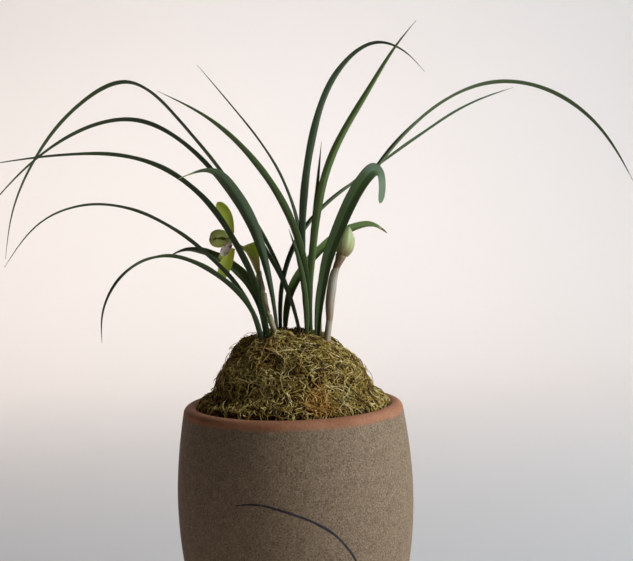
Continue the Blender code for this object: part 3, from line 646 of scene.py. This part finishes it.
def make_stoneware(grains):
    """Matte speckled brown-grey body; bare terracotta above the glaze edge."""
    material, tree, shader = new_material("speckled_stoneware")
    place = own_place(tree)
    grain = use_group(tree, grains, {"Vector": place, "Scale": 1000.0, "Amount": 0.75})
    cloud = noise(tree, place, 190.0, 3.0, 0.6)
    body = ramp(tree, cloud, [(0.3, (0.245, 0.152, 0.086)), (0.7, (0.335, 0.216, 0.126))])
    body = mix_colour(tree, grain["Dark"], body, (0.118, 0.073, 0.040))
    body = mix_colour(tree, grain["Light"], body, (0.44, 0.32, 0.21))
    firing = noise(tree, place, 60.0, 4.0)
    clay = ramp(tree, firing, [(0.3, (0.40, 0.145, 0.065)), (0.7, (0.54, 0.225, 0.115))])
    clay = mix_colour(tree, times(tree, grain["Dark"], 0.5), clay, (0.14, 0.06, 0.035))
    height = add_node(tree, "ShaderNodeSeparateXYZ", {0: place}).outputs[2]
    wander = remap(tree, noise(tree, place, 45.0), 0.0, 1.0, -GLAZE_WANDER, GLAZE_WANDER)
    edge = maths(tree, "ADD", height, wander)
    line = POT_TOP - GLAZE_EDGE
    bare = remap(tree, edge, line - GLAZE_SOFTNESS, line + GLAZE_SOFTNESS)
    set_inputs(tree, shader, {
        "Base Color": mix_colour(tree, bare, body, clay), "Roughness": 0.75, "Specular IOR Level": 0.3,
        "Normal": bump(tree, grain["Height"], 0.5, 0.2 * MM)})
    return material


def make_stroke_material(grains):
    """Thin dark purple-brown oxide, worn through to the body on the grains."""
    material, tree, shader = new_material("brushed_oxide")
    place = own_place(tree)
    grain = use_group(tree, grains, {"Vector": place, "Scale": 1000.0, "Amount": 0.5})
    load = noise(tree, place, 120.0, 2.0)
    ink = ramp(tree, load, [(0.3, (0.020, 0.012, 0.018)), (0.7, (0.040, 0.024, 0.034))])
    set_inputs(tree, shader, {
        "Base Color": mix_colour(tree, grain["Light"], ink, (0.12, 0.10, 0.09)), "Roughness": 0.7,
        "Normal": bump(tree, grain["Height"], 0.4, 0.2 * MM)})
    return material


def make_moss_material():
    """Moss strands: a colour per strand by its tone, which holds painted shade, shifted by clumps, rusty in
    patches.
    """
    material, tree, shader = new_material("moss_strands")
    tone = add_node(tree, "ShaderNodeAttribute", attribute_name="tone").outputs["Fac"]
    place = own_place(tree)
    broad = remap(tree, noise(tree, place, 60.0, 2.0), 0.3, 0.7, -0.20, 0.20)
    fine = remap(tree, noise(tree, place, 260.0, 2.0), 0.3, 0.7, -0.14, 0.14)
    shifted = maths(tree, "ADD", maths(tree, "ADD", tone, broad), fine, clamp=True)
    colour = ramp(tree, shifted, MOSS_COLOURS)
    rust = ramp(tree, shifted, MOSS_RUST)
    near = add_node(tree, "ShaderNodeVectorMath", {0: place, 1: OLD_MOSS_PLACE}, operation="DISTANCE")
    old = remap(tree, near.outputs["Value"], OLD_MOSS_RADIUS, 0.6 * OLD_MOSS_RADIUS, 0.0, 0.8)
    patches = maths(tree, "MAXIMUM", remap(tree, noise(tree, place, 42.0, 2.0), 0.54, 0.68, 0.0, 0.6), old)
    set_inputs(tree, shader, {
        "Base Color": mix_colour(tree, patches, colour, rust), "Roughness": 0.9, "Specular IOR Level": 0.2})
    return material


def make_plain_grain(name, grains, low, high, scale, roughness):
    """A grainy solid of two tones for pieces that are mostly hidden."""
    material, tree, shader = new_material(name)
    place = own_place(tree)
    grain = use_group(tree, grains, {"Vector": place, "Scale": scale, "Amount": 1.0})
    tone = ramp(tree, noise(tree, place, scale / 5, 4.0), [(0.3, low), (0.7, high)])
    set_inputs(tree, shader, {
        "Base Color": mix_colour(tree, grain["Dark"], tone, low), "Roughness": roughness,
        "Normal": bump(tree, grain["Height"], 0.8, 0.6 * MM)})
    return material


# ==== blades ====
def swell(t, foot, fullest):
    """Rises from foot to 1 along a quarter sine, and is 1 from the share fullest on."""
    return foot + (1 - foot) * np.sin(0.5 * math.pi * np.clip(t / fullest, 0, 1))


def outline(foot, fullest, squareness, bluntness):
    """A width as a function of the share t: swell(t) (1 - t^squareness)^bluntness."""
    return lambda t: swell(t, foot, fullest) * (1 - t ** squareness) ** bluntness


def broad_above_width(t):
    """Narrow for its lower half, fullest above the middle, then a quick taper."""
    return (0.3 + 0.7 * np.sin(0.5 * math.pi * np.clip(t / 0.62, 0, 1)) ** 4) * (1 - t ** 3) ** 0.7


def spathe_width(t):
    """Clasping at the foot, opening steadily to a broad cut-off mouth."""
    return 0.16 + 0.84 * t ** 0.8


LEAF_WIDTH = outline(0.32, 0.33, 3.2, 0.9)       # full by a third of the way, then a long taper
FLAP_WIDTH = outline(0.30, 0.75, 40, 0.5)        # widening to three quarters up, square at the tip
SHEATH_WIDTH = outline(1, 1, 2, 0.8)             # full at the foot, tapering to a point
SEPAL_WIDTH = outline(0.45, 0.6, 6, 0.5)         # broadest two thirds up, rounded at the tip
ODD_LEAF_WIDTHS = {
    "leaf_middle_folded": broad_above_width,
    "leaf_back_right_short": outline(0.32, 0.33, 12, 0.5),      # broad to a cut-off tip
}


def upright_frame(foot, heading, curve, stations, sway=0.0):
    """A path in the upright plane that faces heading, the level axis across it and its upper side.

    The path also wanders sideways by sway sin(3 pi t) t (1 - t).
    """
    t = np.linspace(0, 1, stations)
    plane = smooth_path(np.asarray(curve, float) * MM, stations)
    angle = math.radians(heading)
    ahead = np.array([math.cos(angle), math.sin(angle), 0.0])
    side = np.array([-math.sin(angle), math.cos(angle), 0.0])
    path = np.asarray(foot) + plane[:, :1] * ahead + plane[:, 1:] * UP
    path = path + side * (sway * MM * np.sin(3 * math.pi * t) * t * (1 - t))[:, None]
    tangent = unit(np.gradient(path, axis=0))
    upper = unit(np.cross(tangent, side))
    return path, np.cross(upper, tangent), upper


def carried_frame(path, facing):
    """A free path, the axis across it and its upper side, which looks towards facing at the foot.

    The upper side is carried along the path: at each station it loses its part along the tangent.
    """
    tangent = unit(np.gradient(path, axis=0))
    upper = np.empty_like(path)
    angle = math.radians(facing)
    last = np.array([math.cos(angle), math.sin(angle), 0.0])
    for station, direction in enumerate(tangent):
        last = unit(last - direction * (direction @ last))
        upper[station] = last
    return path, np.cross(upper, tangent), upper


def blade(carried, width, turn, fold, shape, thickness, across=15, inset=0.5, keel=0.13, ripple=0.0):
    """Rings (stations, 2 across, 3) of a folded blade carried along a path, level axis and upper side.

    At share t the halves rise from the keel by the fold angle f(t) = f1 + (f0 - f1) exp(-8 t); across
    share v, from -1 to 1, a point is half width times (v cos f, r sin f) off the keel, where
    r = (sqrt(v^2 + k^2) - k) / (sqrt(1 + k^2) - k) is sharp for a small keel k and cupped for a large one.
    The section is turned about the path by the turn angle, a parabola through its three values. The wall
    is thickness (1 - 0.7 v^4), thins to the tip, and the margins ripple by a share of the width.
    """
    path, level, upper = carried
    t = np.linspace(0, 1, len(path))
    spin = through_three(t, *np.radians(turn))[:, None]
    edge = level * np.cos(spin) + upper * np.sin(spin)
    face = upper * np.cos(spin) - level * np.sin(spin)
    settled = 1 - np.exp(-8 * t)
    lean = np.radians(fold[0] + (fold[1] - fold[0]) * settled)[:, None, None]
    half = 0.5 * np.maximum(width * MM * shape(t), 0.3 * MM)[:, None, None]
    v = np.linspace(-1, 1, across)[None, :, None]
    wave = (t * (1 - t) * np.sin(41 * t + 100 * width))[:, None, None]
    rise = (np.sqrt(v ** 2 + keel ** 2) - keel) / (math.sqrt(1 + keel ** 2) - keel)
    rise = rise + ripple * v * wave - inset * settled[:, None, None]
    top = path[:, None] + half * (v * np.cos(lean) * edge[:, None] + rise * np.sin(lean) * face[:, None])
    wall = thickness * (1 - 0.7 * v ** 4) * (1 - 0.6 * t[:, None, None] ** 3)
    under = top - face[:, None] * wall
    return np.concatenate([top, under[:, ::-1]], axis=1)


def add_blade(name, rings, material, node, looks=(0.5, 0.0, 1.0)):
    """Adds a blade with its tone, and the colour its tip turns to from a share of its length on."""
    tone, tip, start = looks
    stations, around = rings.shape[:2]
    piece = add_skin(name, rings, material, tone)
    t = np.linspace(0, 1, stations)
    values = np.repeat(tip * smooth_step(t, start, start + 0.5 * (1.001 - start)), around).astype(np.float32)
    piece.data.attributes.new("dry", "FLOAT", "POINT").data.foreach_set("value", values)
    return stand_for(piece, node)


def add_leaf(name, frame_here, width, turn, fold, shape, material, looks, ripple=0.0):
    rings = blade(frame_here, width, turn, fold, shape, BLADE_THICKNESS, ripple=ripple)
    add_blade(name.replace("leaf_", "blade_"), rings, material, name, looks)


def make_leaves(material):
    for name, (foot, heading, curve, width, turn, looks) in LEAVES.items():
        base = (foot[0] * MM, foot[1] * MM, CROWN)
        sway = LONG_SWAY if curve[-1][0] > LONG_REACH else 0.0
        frame_here = upright_frame(base, heading, curve, 110, sway)
        shape = ODD_LEAF_WIDTHS.get(name, LEAF_WIDTH)
        add_leaf(name, frame_here, width, turn, LEAF_FOLD, shape, material, looks, 0.5)
    frame_here = carried_frame(crown_path(CREASED_LEAF, 150), CREASED_LEAF_FACING)
    add_leaf("leaf_main_broad_folded", frame_here, CREASED_LEAF_WIDTH, (0, 0, 0), CREASED_LEAF_FOLD,
             FLAP_WIDTH, material, CREASED_LEAF_LOOKS)


def make_basal_sheaths(plant):
    for name, (foot, heading, curve, width, turn) in BASAL_SHEATHS.items():
        by_bud = name == "sheath_bud_stalk"
        base = (foot[0] * MM, foot[1] * MM, CROWN)
        frame_here = upright_frame(base, heading, curve, 40)
        rings = blade(frame_here, width, turn, BASAL_FOLD, SHEATH_WIDTH, BASAL_THICKNESS, 11, keel=0.8)
        material = plant["wrap_green" if by_bud else "wrap_brown"]
        add_blade(name.replace("sheath_", "wrap_"), rings, material, name)


# ==== stalks, flower and bud ====
def tube_rings(path, radii, around=20):
    """Rings (stations, around, 3): path + r (cos a X + sin a Y) in the path's own cross axes."""
    tangent = unit(np.gradient(path, axis=0))
    across = unit(np.cross(tangent, (0.0, 1.0, 0.0)))
    other = np.cross(tangent, across)
    turn = turns(around)
    circle = across[:, None] * np.cos(turn)[None, :, None] + other[:, None] * np.sin(turn)[None, :, None]
    return path[:, None] + np.asarray(radii)[:, None, None] * circle


def add_tube(name, path, radii, material, node, around=20):
    return stand_for(add_skin(name, tube_rings(path, radii, around), material), node)


def add_sleeve(name, path, inner, wall, material, node, slant=0.0, around=28):
    """A thin open sleeve. Its mouth is cut slantwise: the last third leans along the path by slant cos a."""
    outer = tube_rings(path, inner + wall * (1 - 0.6 * np.linspace(0, 1, len(path)) ** 4), around)
    inside = tube_rings(path, inner, around)
    turn = turns(around)
    reach = slant * MM * smooth_step(np.linspace(0, 1, len(path)), 0.6, 1.0)[:, None] * np.cos(turn)[None, :]
    along = unit(np.gradient(path, axis=0))[:, None] * reach[..., None]
    rings = np.concatenate([outer + along, (inside + along)[::-1]])
    quads, uv = grid_quads(len(rings), around, wrap_rows=True)
    uv[..., 1] = 1 - np.abs(2 * uv[..., 1] - 1)
    piece = add_piece(name, rings.reshape(-1, 3), quads, material, uv, np.full(rings.size // 3, 0.5))
    return stand_for(piece, node)


def make_flower_stalk(plant):
    path = crown_path(FLOWER_STALK, 70)
    add_tube("stem_flower", path, np.full(70, STALK_RADIUS), plant["stalk_green"], "flower_stalk")
    for number, (first, last) in enumerate(FLOWER_STALK_SHEATHS, 1):
        inner = STALK_RADIUS + 0.2 * MM + 0.45 * MM * np.linspace(0, 1, 24)
        stretch = part_of(path, first, last, 24)
        add_sleeve(f"stem_flower_wrap_{number}", stretch, inner, PAPER_WALL, plant["sheath_tan"],
                   f"flower_stalk_sheath_{number}", -1.4)
    pedicel = crown_path(PEDICEL, 50)
    radii = np.linspace(STALK_RADIUS - 0.3 * MM, STALK_RADIUS, 50)
    add_tube("stem_pedicel", pedicel, radii, plant["stalk_green"], "pedicel")


def bud_radius(share):
    return BUD_RADIUS * np.sin(math.pi * share ** 0.86) ** 0.75


def make_bud_stalk(plant):
    """The stalk in its papery sheaths, and the closed bud with three sepals' seams as shallow grooves."""
    path = crown_path(BUD_STALK, 80)
    radii = np.linspace(STALK_RADIUS, 0.85 * STALK_RADIUS, 80)
    add_tube("stem_bud", path, radii, plant["stalk_green"], "bud_stalk")
    for number, (first, last, loose) in enumerate(BUD_STALK_SHEATHS, 1):
        share = np.linspace(0, 1, 40)
        inner = STALK_RADIUS + 0.25 * MM + 0.9 * MM * through_three(share, *loose)
        add_sleeve(f"stem_bud_wrap_{number}", part_of(path, first, last, 40), inner, PAPER_WALL,
                   plant["sheath_paper"], f"bud_stalk_sheath_{number}", 1.6 if number == 1 else -2.0)
    collar = crown_path(COLLAR, 14)
    radii = stretch_over(COLLAR_RADII, 14)
    add_sleeve("stem_bud_collar", collar, radii, COLLAR_WALL, plant["collar_brown"], "bud_collar")
    axis = crown_path(BUD_AXIS, 60)
    rings = tube_rings(axis, bud_radius(np.linspace(0.005, 0.995, 60)), 72)
    turn = turns(72)
    groove = 1 - BUD_SEAM * np.abs(np.cos(1.5 * turn)) ** 24
    rings = axis[:, None] + (rings - axis[:, None]) * groove[None, :, None]
    stand_for(add_skin("bud_closed", rings, plant["bud_green"]), "bud")


def make_flower(plant):
    """Sepals, hood, lip and column, with the spathe below and the bud's own bract."""
    for name, (places, facing, width, fold) in FLORAL_BLADES.items():
        shape = spathe_width if name == "spathe" else SEPAL_WIDTH
        frame_here = carried_frame(crown_path(places, 50), facing)
        keel = 0.6 if name == "spathe" else 1.5
        rings = blade(frame_here, width, (0, 0, 0), fold, shape, PETAL_THICKNESS, 21, 0.0, keel)
        material = plant[FLORAL_FINISHES.get(name, "sepal_green")]
        add_blade("bloom_" + name, rings, material, name)
    back = carried_frame(crown_path(HOOD_BACK, 40), -90)
    rings = blade(back, HOOD_BACK_WIDTH, (0, 0, 0), (20, 20), SEPAL_WIDTH, PETAL_THICKNESS, 21, 0.0, 1.5)
    inside = add_skin("bloom_hood_inside", rings, plant["hood_shadow"])
    column = crown_path(COLUMN, 40)
    radii = COLUMN_RADIUS * stretch_over(COLUMN_PROFILE, 40)
    add_tube("bloom_column", column, radii, plant["column_cream"], "column", 28)


# ==== pot ====
def outer_radius(height):
    """Outside radius at a height: a filled-out quarter sine up to the belly, then drawn in to the mouth."""
    share = np.clip(height / POT_BELLY_HEIGHT, 0, 1)
    shoulder = POT_TOP - 0.5 * POT_LIP_WIDTH
    above = np.clip((height - POT_BELLY_HEIGHT) / (shoulder - POT_BELLY_HEIGHT), 0, 1)
    widening = np.sin(0.5 * math.pi * share ** POT_SWELL)
    below = POT_FOOT_RADIUS + (POT_BELLY_RADIUS - POT_FOOT_RADIUS) * widening
    return below - (POT_BELLY_RADIUS - POT_MOUTH_RADIUS) * above ** POT_SHOULDER


def uneven(turn):
    """The hand-thrown wall's departure from round: 1 + two small waves round the pot."""
    return 1 + 0.0016 * np.sin(3 * turn + 0.7) + 0.0009 * np.sin(7 * turn + 2.1)


def pot_outline():
    """Radius and height over the foot, up the outside, over the rounded lip and down the inside."""
    lip = 0.5 * POT_LIP_WIDTH
    bevel = 2 * MM
    foot = [(0.5 * MM, 0), (0.5 * POT_FOOT_RADIUS, 0), (POT_FOOT_RADIUS - bevel, 0),
            (POT_FOOT_RADIUS - 0.5 * bevel, 0.2 * bevel)]
    side = np.linspace(0.02 * POT_BELLY_HEIGHT, POT_TOP - lip, 110)
    angle = np.linspace(0.08, 1, 20) * math.pi
    over = np.stack([POT_MOUTH_RADIUS - lip + lip * np.cos(angle), POT_TOP - lip + lip * np.sin(angle)], 1)
    throat = [(POT_MOUTH_RADIUS - POT_LIP_WIDTH, POT_TOP - POT_LIP_DEPTH),
              (POT_MOUTH_RADIUS - POT_WALL, POT_TOP - 1.6 * POT_LIP_DEPTH)]
    inside = np.linspace(POT_BELLY_HEIGHT, POT_FLOOR + 4 * MM, 20)
    floor = [(POT_FOOT_RADIUS - POT_WALL, POT_FLOOR), (0.5 * MM, POT_FLOOR)]
    return np.concatenate([
        foot, np.stack([outer_radius(side), side], 1), over, throat,
        np.stack([outer_radius(inside) - POT_WALL, inside], 1), floor])


def make_pot(material):
    """The outline turned about Z, slightly out of round."""
    radius, height = pot_outline().T[:, :, None]
    turn = turns(256)
    radius = radius * uneven(turn)
    rings = np.stack(np.broadcast_arrays(radius * np.cos(turn), radius * np.sin(turn), height), -1)
    stand_for(add_skin("pot_fine", rings, material), "pot")


def make_strokes(material):
    """Each brushed stroke: a thin ribbon on the wall, at angle a and height z along its smooth line.

    At share t it is w (sin pi t^0.6)^0.7 wide, measured along the wall across the line.
    """
    for number, (places, width) in enumerate(STROKES, 1):
        places = np.asarray(places, float)
        flat = np.stack([np.radians(places[:, 0]) * POT_BELLY_RADIUS, places[:, 1] * MM], 1)
        line = smooth_path(flat, 120)
        tangent = unit(np.gradient(line, axis=0))
        normal = np.stack([-tangent[:, 1], tangent[:, 0]], 1)
        t = np.linspace(0.004, 0.996, 120)
        half = 0.5 * width * MM * np.sin(math.pi * t ** 0.6) ** 0.7 * (1 + 0.1 * np.sin(37 * t))
        v = np.linspace(-1, 1, 7)
        spread = line[:, None] + normal[:, None] * (half[:, None] * v)[..., None]
        turn, height = spread[..., 0] / POT_BELLY_RADIUS, spread[..., 1]
        proud = (0.14 - 0.06 * v ** 2) * MM
        shells = []
        for lift in (np.full(7, -0.25 * MM), proud[::-1]):
            radius = outer_radius(height) * uneven(turn) + lift
            shells.append(np.stack([radius * np.cos(turn), radius * np.sin(turn), height], -1))
        rings = np.concatenate([shells[0], shells[1][:, ::-1]], axis=1)
        add_skin(f"pot_stroke_{number}", rings, material)


# ==== moss ====
def mound_profile():
    """(arc length, radius, height) up the throat of the pot from the mix, then over the mound to its top."""
    shares = smooth_path(MOSS_OUTLINE, 200)
    radius = np.concatenate([np.full(10, MOSS_RADIUS), MOSS_RADIUS * np.clip(shares[1:, 0], 0, 1)])
    throat = np.linspace(MIX_TOP + 2 * MM, POT_TOP, 10)
    height = np.concatenate([throat, POT_TOP + MOSS_RISE * shares[1:, 1]])
    arc = np.concatenate([[0], np.cumsum(np.hypot(np.diff(radius), np.diff(height)))])
    return arc, radius, height


MOUND_ARC, MOUND_RADIUS, MOUND_HEIGHT = mound_profile()


def mound_point(arc, turn, lift):
    """Points on the mound at an arc length up from the mix and an angle, lifted off along the normal.

    Lumps are three waves in arc length s and angle a: 1.2 sin(3a + 90s), 0.9 sin(5a - 130s + 1) and
    0.6 sin(9a + 210s + 4) mm, all sunk by MOSS_SUNK. The top leans towards -X.
    """
    step = 1.5 * MM
    r = np.interp(arc, MOUND_ARC, MOUND_RADIUS)
    z = np.interp(arc, MOUND_ARC, MOUND_HEIGHT)
    dr = np.interp(arc + step, MOUND_ARC, MOUND_RADIUS) - np.interp(arc - step, MOUND_ARC, MOUND_RADIUS)
    dz = np.interp(arc + step, MOUND_ARC, MOUND_HEIGHT) - np.interp(arc - step, MOUND_ARC, MOUND_HEIGHT)
    size = np.maximum(np.hypot(dr, dz), 1e-9)
    lump = 1.2 * np.sin(3 * turn + 90 * arc) + 0.9 * np.sin(5 * turn - 130 * arc + 1)
    lump = lump + 0.6 * np.sin(9 * turn + 210 * arc + 4)
    off = lift + (lump - MOSS_SUNK) * MM * smooth_step(arc, 14 * MM, 26 * MM)
    r = np.maximum(r + dz / size * off, 0)
    z = z - dr / size * off
    lean = -MOUND_LEAN * smooth_step(z, POT_TOP + 0.5 * MOSS_RISE, POT_TOP + MOSS_RISE)
    return np.stack([r * np.cos(turn) + lean, r * np.sin(turn), z], -1)


def clump(arc, turn):
    """From -1 in the gaps to 1 on the tufts of the moss: a wavy chequer about 9 mm across."""
    return np.sin(760 * arc + 2 * np.sin(5 * turn)) * np.sin(31 * turn + 3 * np.sin(240 * arc))


def make_mound(material):
    """The body of the mound under its strands, dark as painted shade in the gaps, a surface of arc length and
    angle.
    """
    arc = np.linspace(0, MOUND_ARC[-1] - 0.4 * MM, 90)[:, None]
    turn = turns(160)[None, :]
    arc, turn = np.broadcast_arrays(arc, turn)
    rough = 0.8 * MM * np.sin(23 * turn + 700 * arc) * np.sin(900 * arc - 11 * turn)
    rings = mound_point(arc, turn, rough - 1.4 * MM)
    stand_for(add_skin("moss_body", rings, material, 0.1), "moss_mound")


def make_strands(material, name, count, seed, length, thick, lift, curl, tone, stations, zone):
    """count curled strands over the mound, each a three-sided tube.

    A strand starts at an arc length and angle drawn evenly over the surface, runs in a random direction
    with a sideways curl c sin(w q + p) at share q of its length, and lifts off the mound by
    h0 + h1 sin(pi q) + h2 q.
    """
    rng = np.random.default_rng(seed)
    q = np.linspace(0, 1, stations)[None, :]

    def draw(low, high):
        return rng.uniform(low, high, count)[:, None]

    area = np.concatenate([[0], np.cumsum(MOUND_RADIUS[1:] * np.diff(MOUND_ARC))])
    low, high = np.interp(zone, MOUND_ARC / MOUND_ARC[-1], area)
    start = np.interp(draw(low, high), area, MOUND_ARC)
    around = draw(0, math.tau)
    way = draw(0, math.tau)
    forward = draw(*length) * MM * q
    phase = draw(0, math.tau)
    sideways = draw(*curl) * forward[:, -1:] * (np.sin(draw(2.0, 7.0) * q + phase) - np.sin(phase))
    arc = start + forward * np.cos(way) - sideways * np.sin(way)
    arc = np.clip(arc, 9 * MM, MOUND_ARC[-1] - 0.5 * MM)
    radius = np.maximum(np.interp(arc, MOUND_ARC, MOUND_RADIUS), 6 * MM)
    turn = around + (forward * np.sin(way) + sideways * np.cos(way)) / radius
    tuft = clump(start, around)
    base = draw(lift[0], lift[1]) + 0.7 * tuft
    rise = base + draw(-0.5, lift[2]) * np.sin(math.pi * q) + draw(-0.8, lift[2]) * q
    centre = mound_point(arc, turn, rise * MM)
    tangent = unit(np.gradient(centre, axis=1) + 1e-9)
    out = unit(np.cross(tangent, np.array([0.31, 0.22, 0.93])))
    other = np.cross(tangent, out)
    girth = draw(*thick) * MM * 0.5 * (1 - 0.8 * q ** 3)
    angle = turns(3)
    ring = out[:, :, None] * np.cos(angle)[:, None] + other[:, :, None] * np.sin(angle)[:, None]
    points = centre[:, :, None] + girth[:, :, None, None] * ring
    quads = grid_quads(stations, 3)[0][None] + (np.arange(count) * stations * 3)[:, None, None]
    # the tone rises with the strand's lift and on the tufts: painted shade, darker low down and in the gaps
    tones = np.clip(rng.normal(tone, 0.2, count) + 0.06 * base[:, 0] + 0.1 * tuft[:, 0], 0, 1)
    piece = add_piece(name, points.reshape(-1, 3), quads, material, None, np.repeat(tones, stations * 3))


def make_moss(strands, shade):
    make_mound(shade)
    for row in MOSS_STRANDS:
        make_strands(strands, *row)


# ==== stage ====
def make_stage():
    """A pale floor that sweeps up into a backdrop."""
    material, tree, shader = new_material("pale_wall")
    set_inputs(tree, shader, {"Base Color": (*WALL_COLOUR, 1), "Roughness": 0.9})
    bend = np.linspace(0, math.pi / 2, 30)
    along = np.concatenate([np.linspace(-3.0, 1.2, 30), 1.2 + 0.8 * np.sin(bend), np.full(10, 2.0)])
    high = np.concatenate([np.zeros(30), 0.8 * (1 - np.cos(bend)), np.linspace(0.9, 3.5, 10)])
    wide = np.linspace(-4, 4, 3)
    grid = np.stack(np.broadcast_arrays(wide[None, :], along[:, None], high[:, None]), -1)
    rows, cols = grid.shape[:2]
    r, c = np.meshgrid(np.arange(rows - 1), np.arange(cols - 1), indexing="ij")
    corner = r * cols + c
    quads = np.stack([corner, corner + 1, corner + cols + 1, corner + cols], -1).reshape(-1, 4)
    mesh = bpy.data.meshes.new("studio_sweep")
    mesh.from_pydata(grid.reshape(-1, 3).tolist(), [], quads.tolist())
    mesh.shade_smooth()
    mesh.materials.append(material)
    sweep = bpy.data.objects.new("studio_sweep", mesh)
    bpy.context.collection.objects.link(sweep)


def add_area_light(name, place, target, size, power, colour, spread):
    data = bpy.data.lights.new(name, "AREA")
    data.shape = "RECTANGLE"
    data.size, data.size_y = size
    data.energy = power
    data.color = colour
    data.spread = math.radians(spread)
    light = bpy.data.objects.new(name, data)
    light.location = place
    direction = mathutils.Vector(target) - mathutils.Vector(place)
    light.rotation_euler = direction.to_track_quat("-Z", "Y").to_euler()
    bpy.context.collection.objects.link(light)


def make_lights():
    """A broad cool window on the right, a wash on the wall, and a pale surround that hardly lights."""
    for name, values in AREA_LIGHTS.items():
        add_area_light(name, *values)
    world = bpy.data.worlds.new("studio")
    bpy.context.scene.world = world
    world.use_nodes = True
    tree = world.node_tree
    seen = add_node(tree, "ShaderNodeLightPath").outputs["Is Camera Ray"]
    strength = remap(tree, seen, 0.0, 1.0, SURROUND_LIGHT, 1.0)
    set_inputs(tree, tree.nodes["Background"], {"Color": (*SURROUND_COLOUR, 1), "Strength": strength})
    bpy.context.scene.view_settings.view_transform = "Standard"


def make_camera():
    """Level with the leaves, looking slightly down and rolled a little about its line of sight."""
    data = bpy.data.cameras.new("camera")
    data.lens = CAMERA_LENS
    data.sensor_width = 36.0
    camera = bpy.data.objects.new("camera", data)
    camera.location = CAMERA_PLACE
    tilt = mathutils.Matrix.Rotation(math.radians(90 - CAMERA_DOWN), 4, "X")
    roll = mathutils.Matrix.Rotation(math.radians(-CAMERA_ROLL), 4, "Z")
    camera.rotation_euler = (tilt @ roll).to_euler()
    bpy.context.collection.objects.link(camera)
    bpy.context.scene.camera = camera


def paint_kept_nodes(mix, bulb):
    """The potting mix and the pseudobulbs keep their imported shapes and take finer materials."""
    for name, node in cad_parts.items():
        if name == "potting_mix" or name.startswith("pseudobulb"):
            node.data.materials.clear()
            node.data.materials.append(mix if name == "potting_mix" else bulb)


def main():
    ribs = make_rib_group()
    grains = make_grain_group()
    plant = {name: make_plant_material(name, ribs) for name in PLANT_FINISHES}
    make_pot(make_stoneware(grains))
    make_strokes(make_stroke_material(grains))
    shade = make_plain_grain("moss_shade", grains, (0.012, 0.008, 0.005), (0.045, 0.032, 0.015), 500.0, 0.95)
    make_moss(make_moss_material(), shade)
    make_leaves(make_leaf_material(ribs))
    make_basal_sheaths(plant)
    make_flower_stalk(plant)
    make_bud_stalk(plant)
    make_flower(plant)
    mix = make_plain_grain("mix_dark", grains, (0.02, 0.012, 0.008), (0.07, 0.045, 0.03), 300.0, 0.95)
    bulb = make_plain_grain("bulb_green", grains, (0.09, 0.12, 0.03), (0.16, 0.20, 0.06), 200.0, 0.5)
    paint_kept_nodes(mix, bulb)
    make_stage()
    make_lights()
    make_camera()


main()
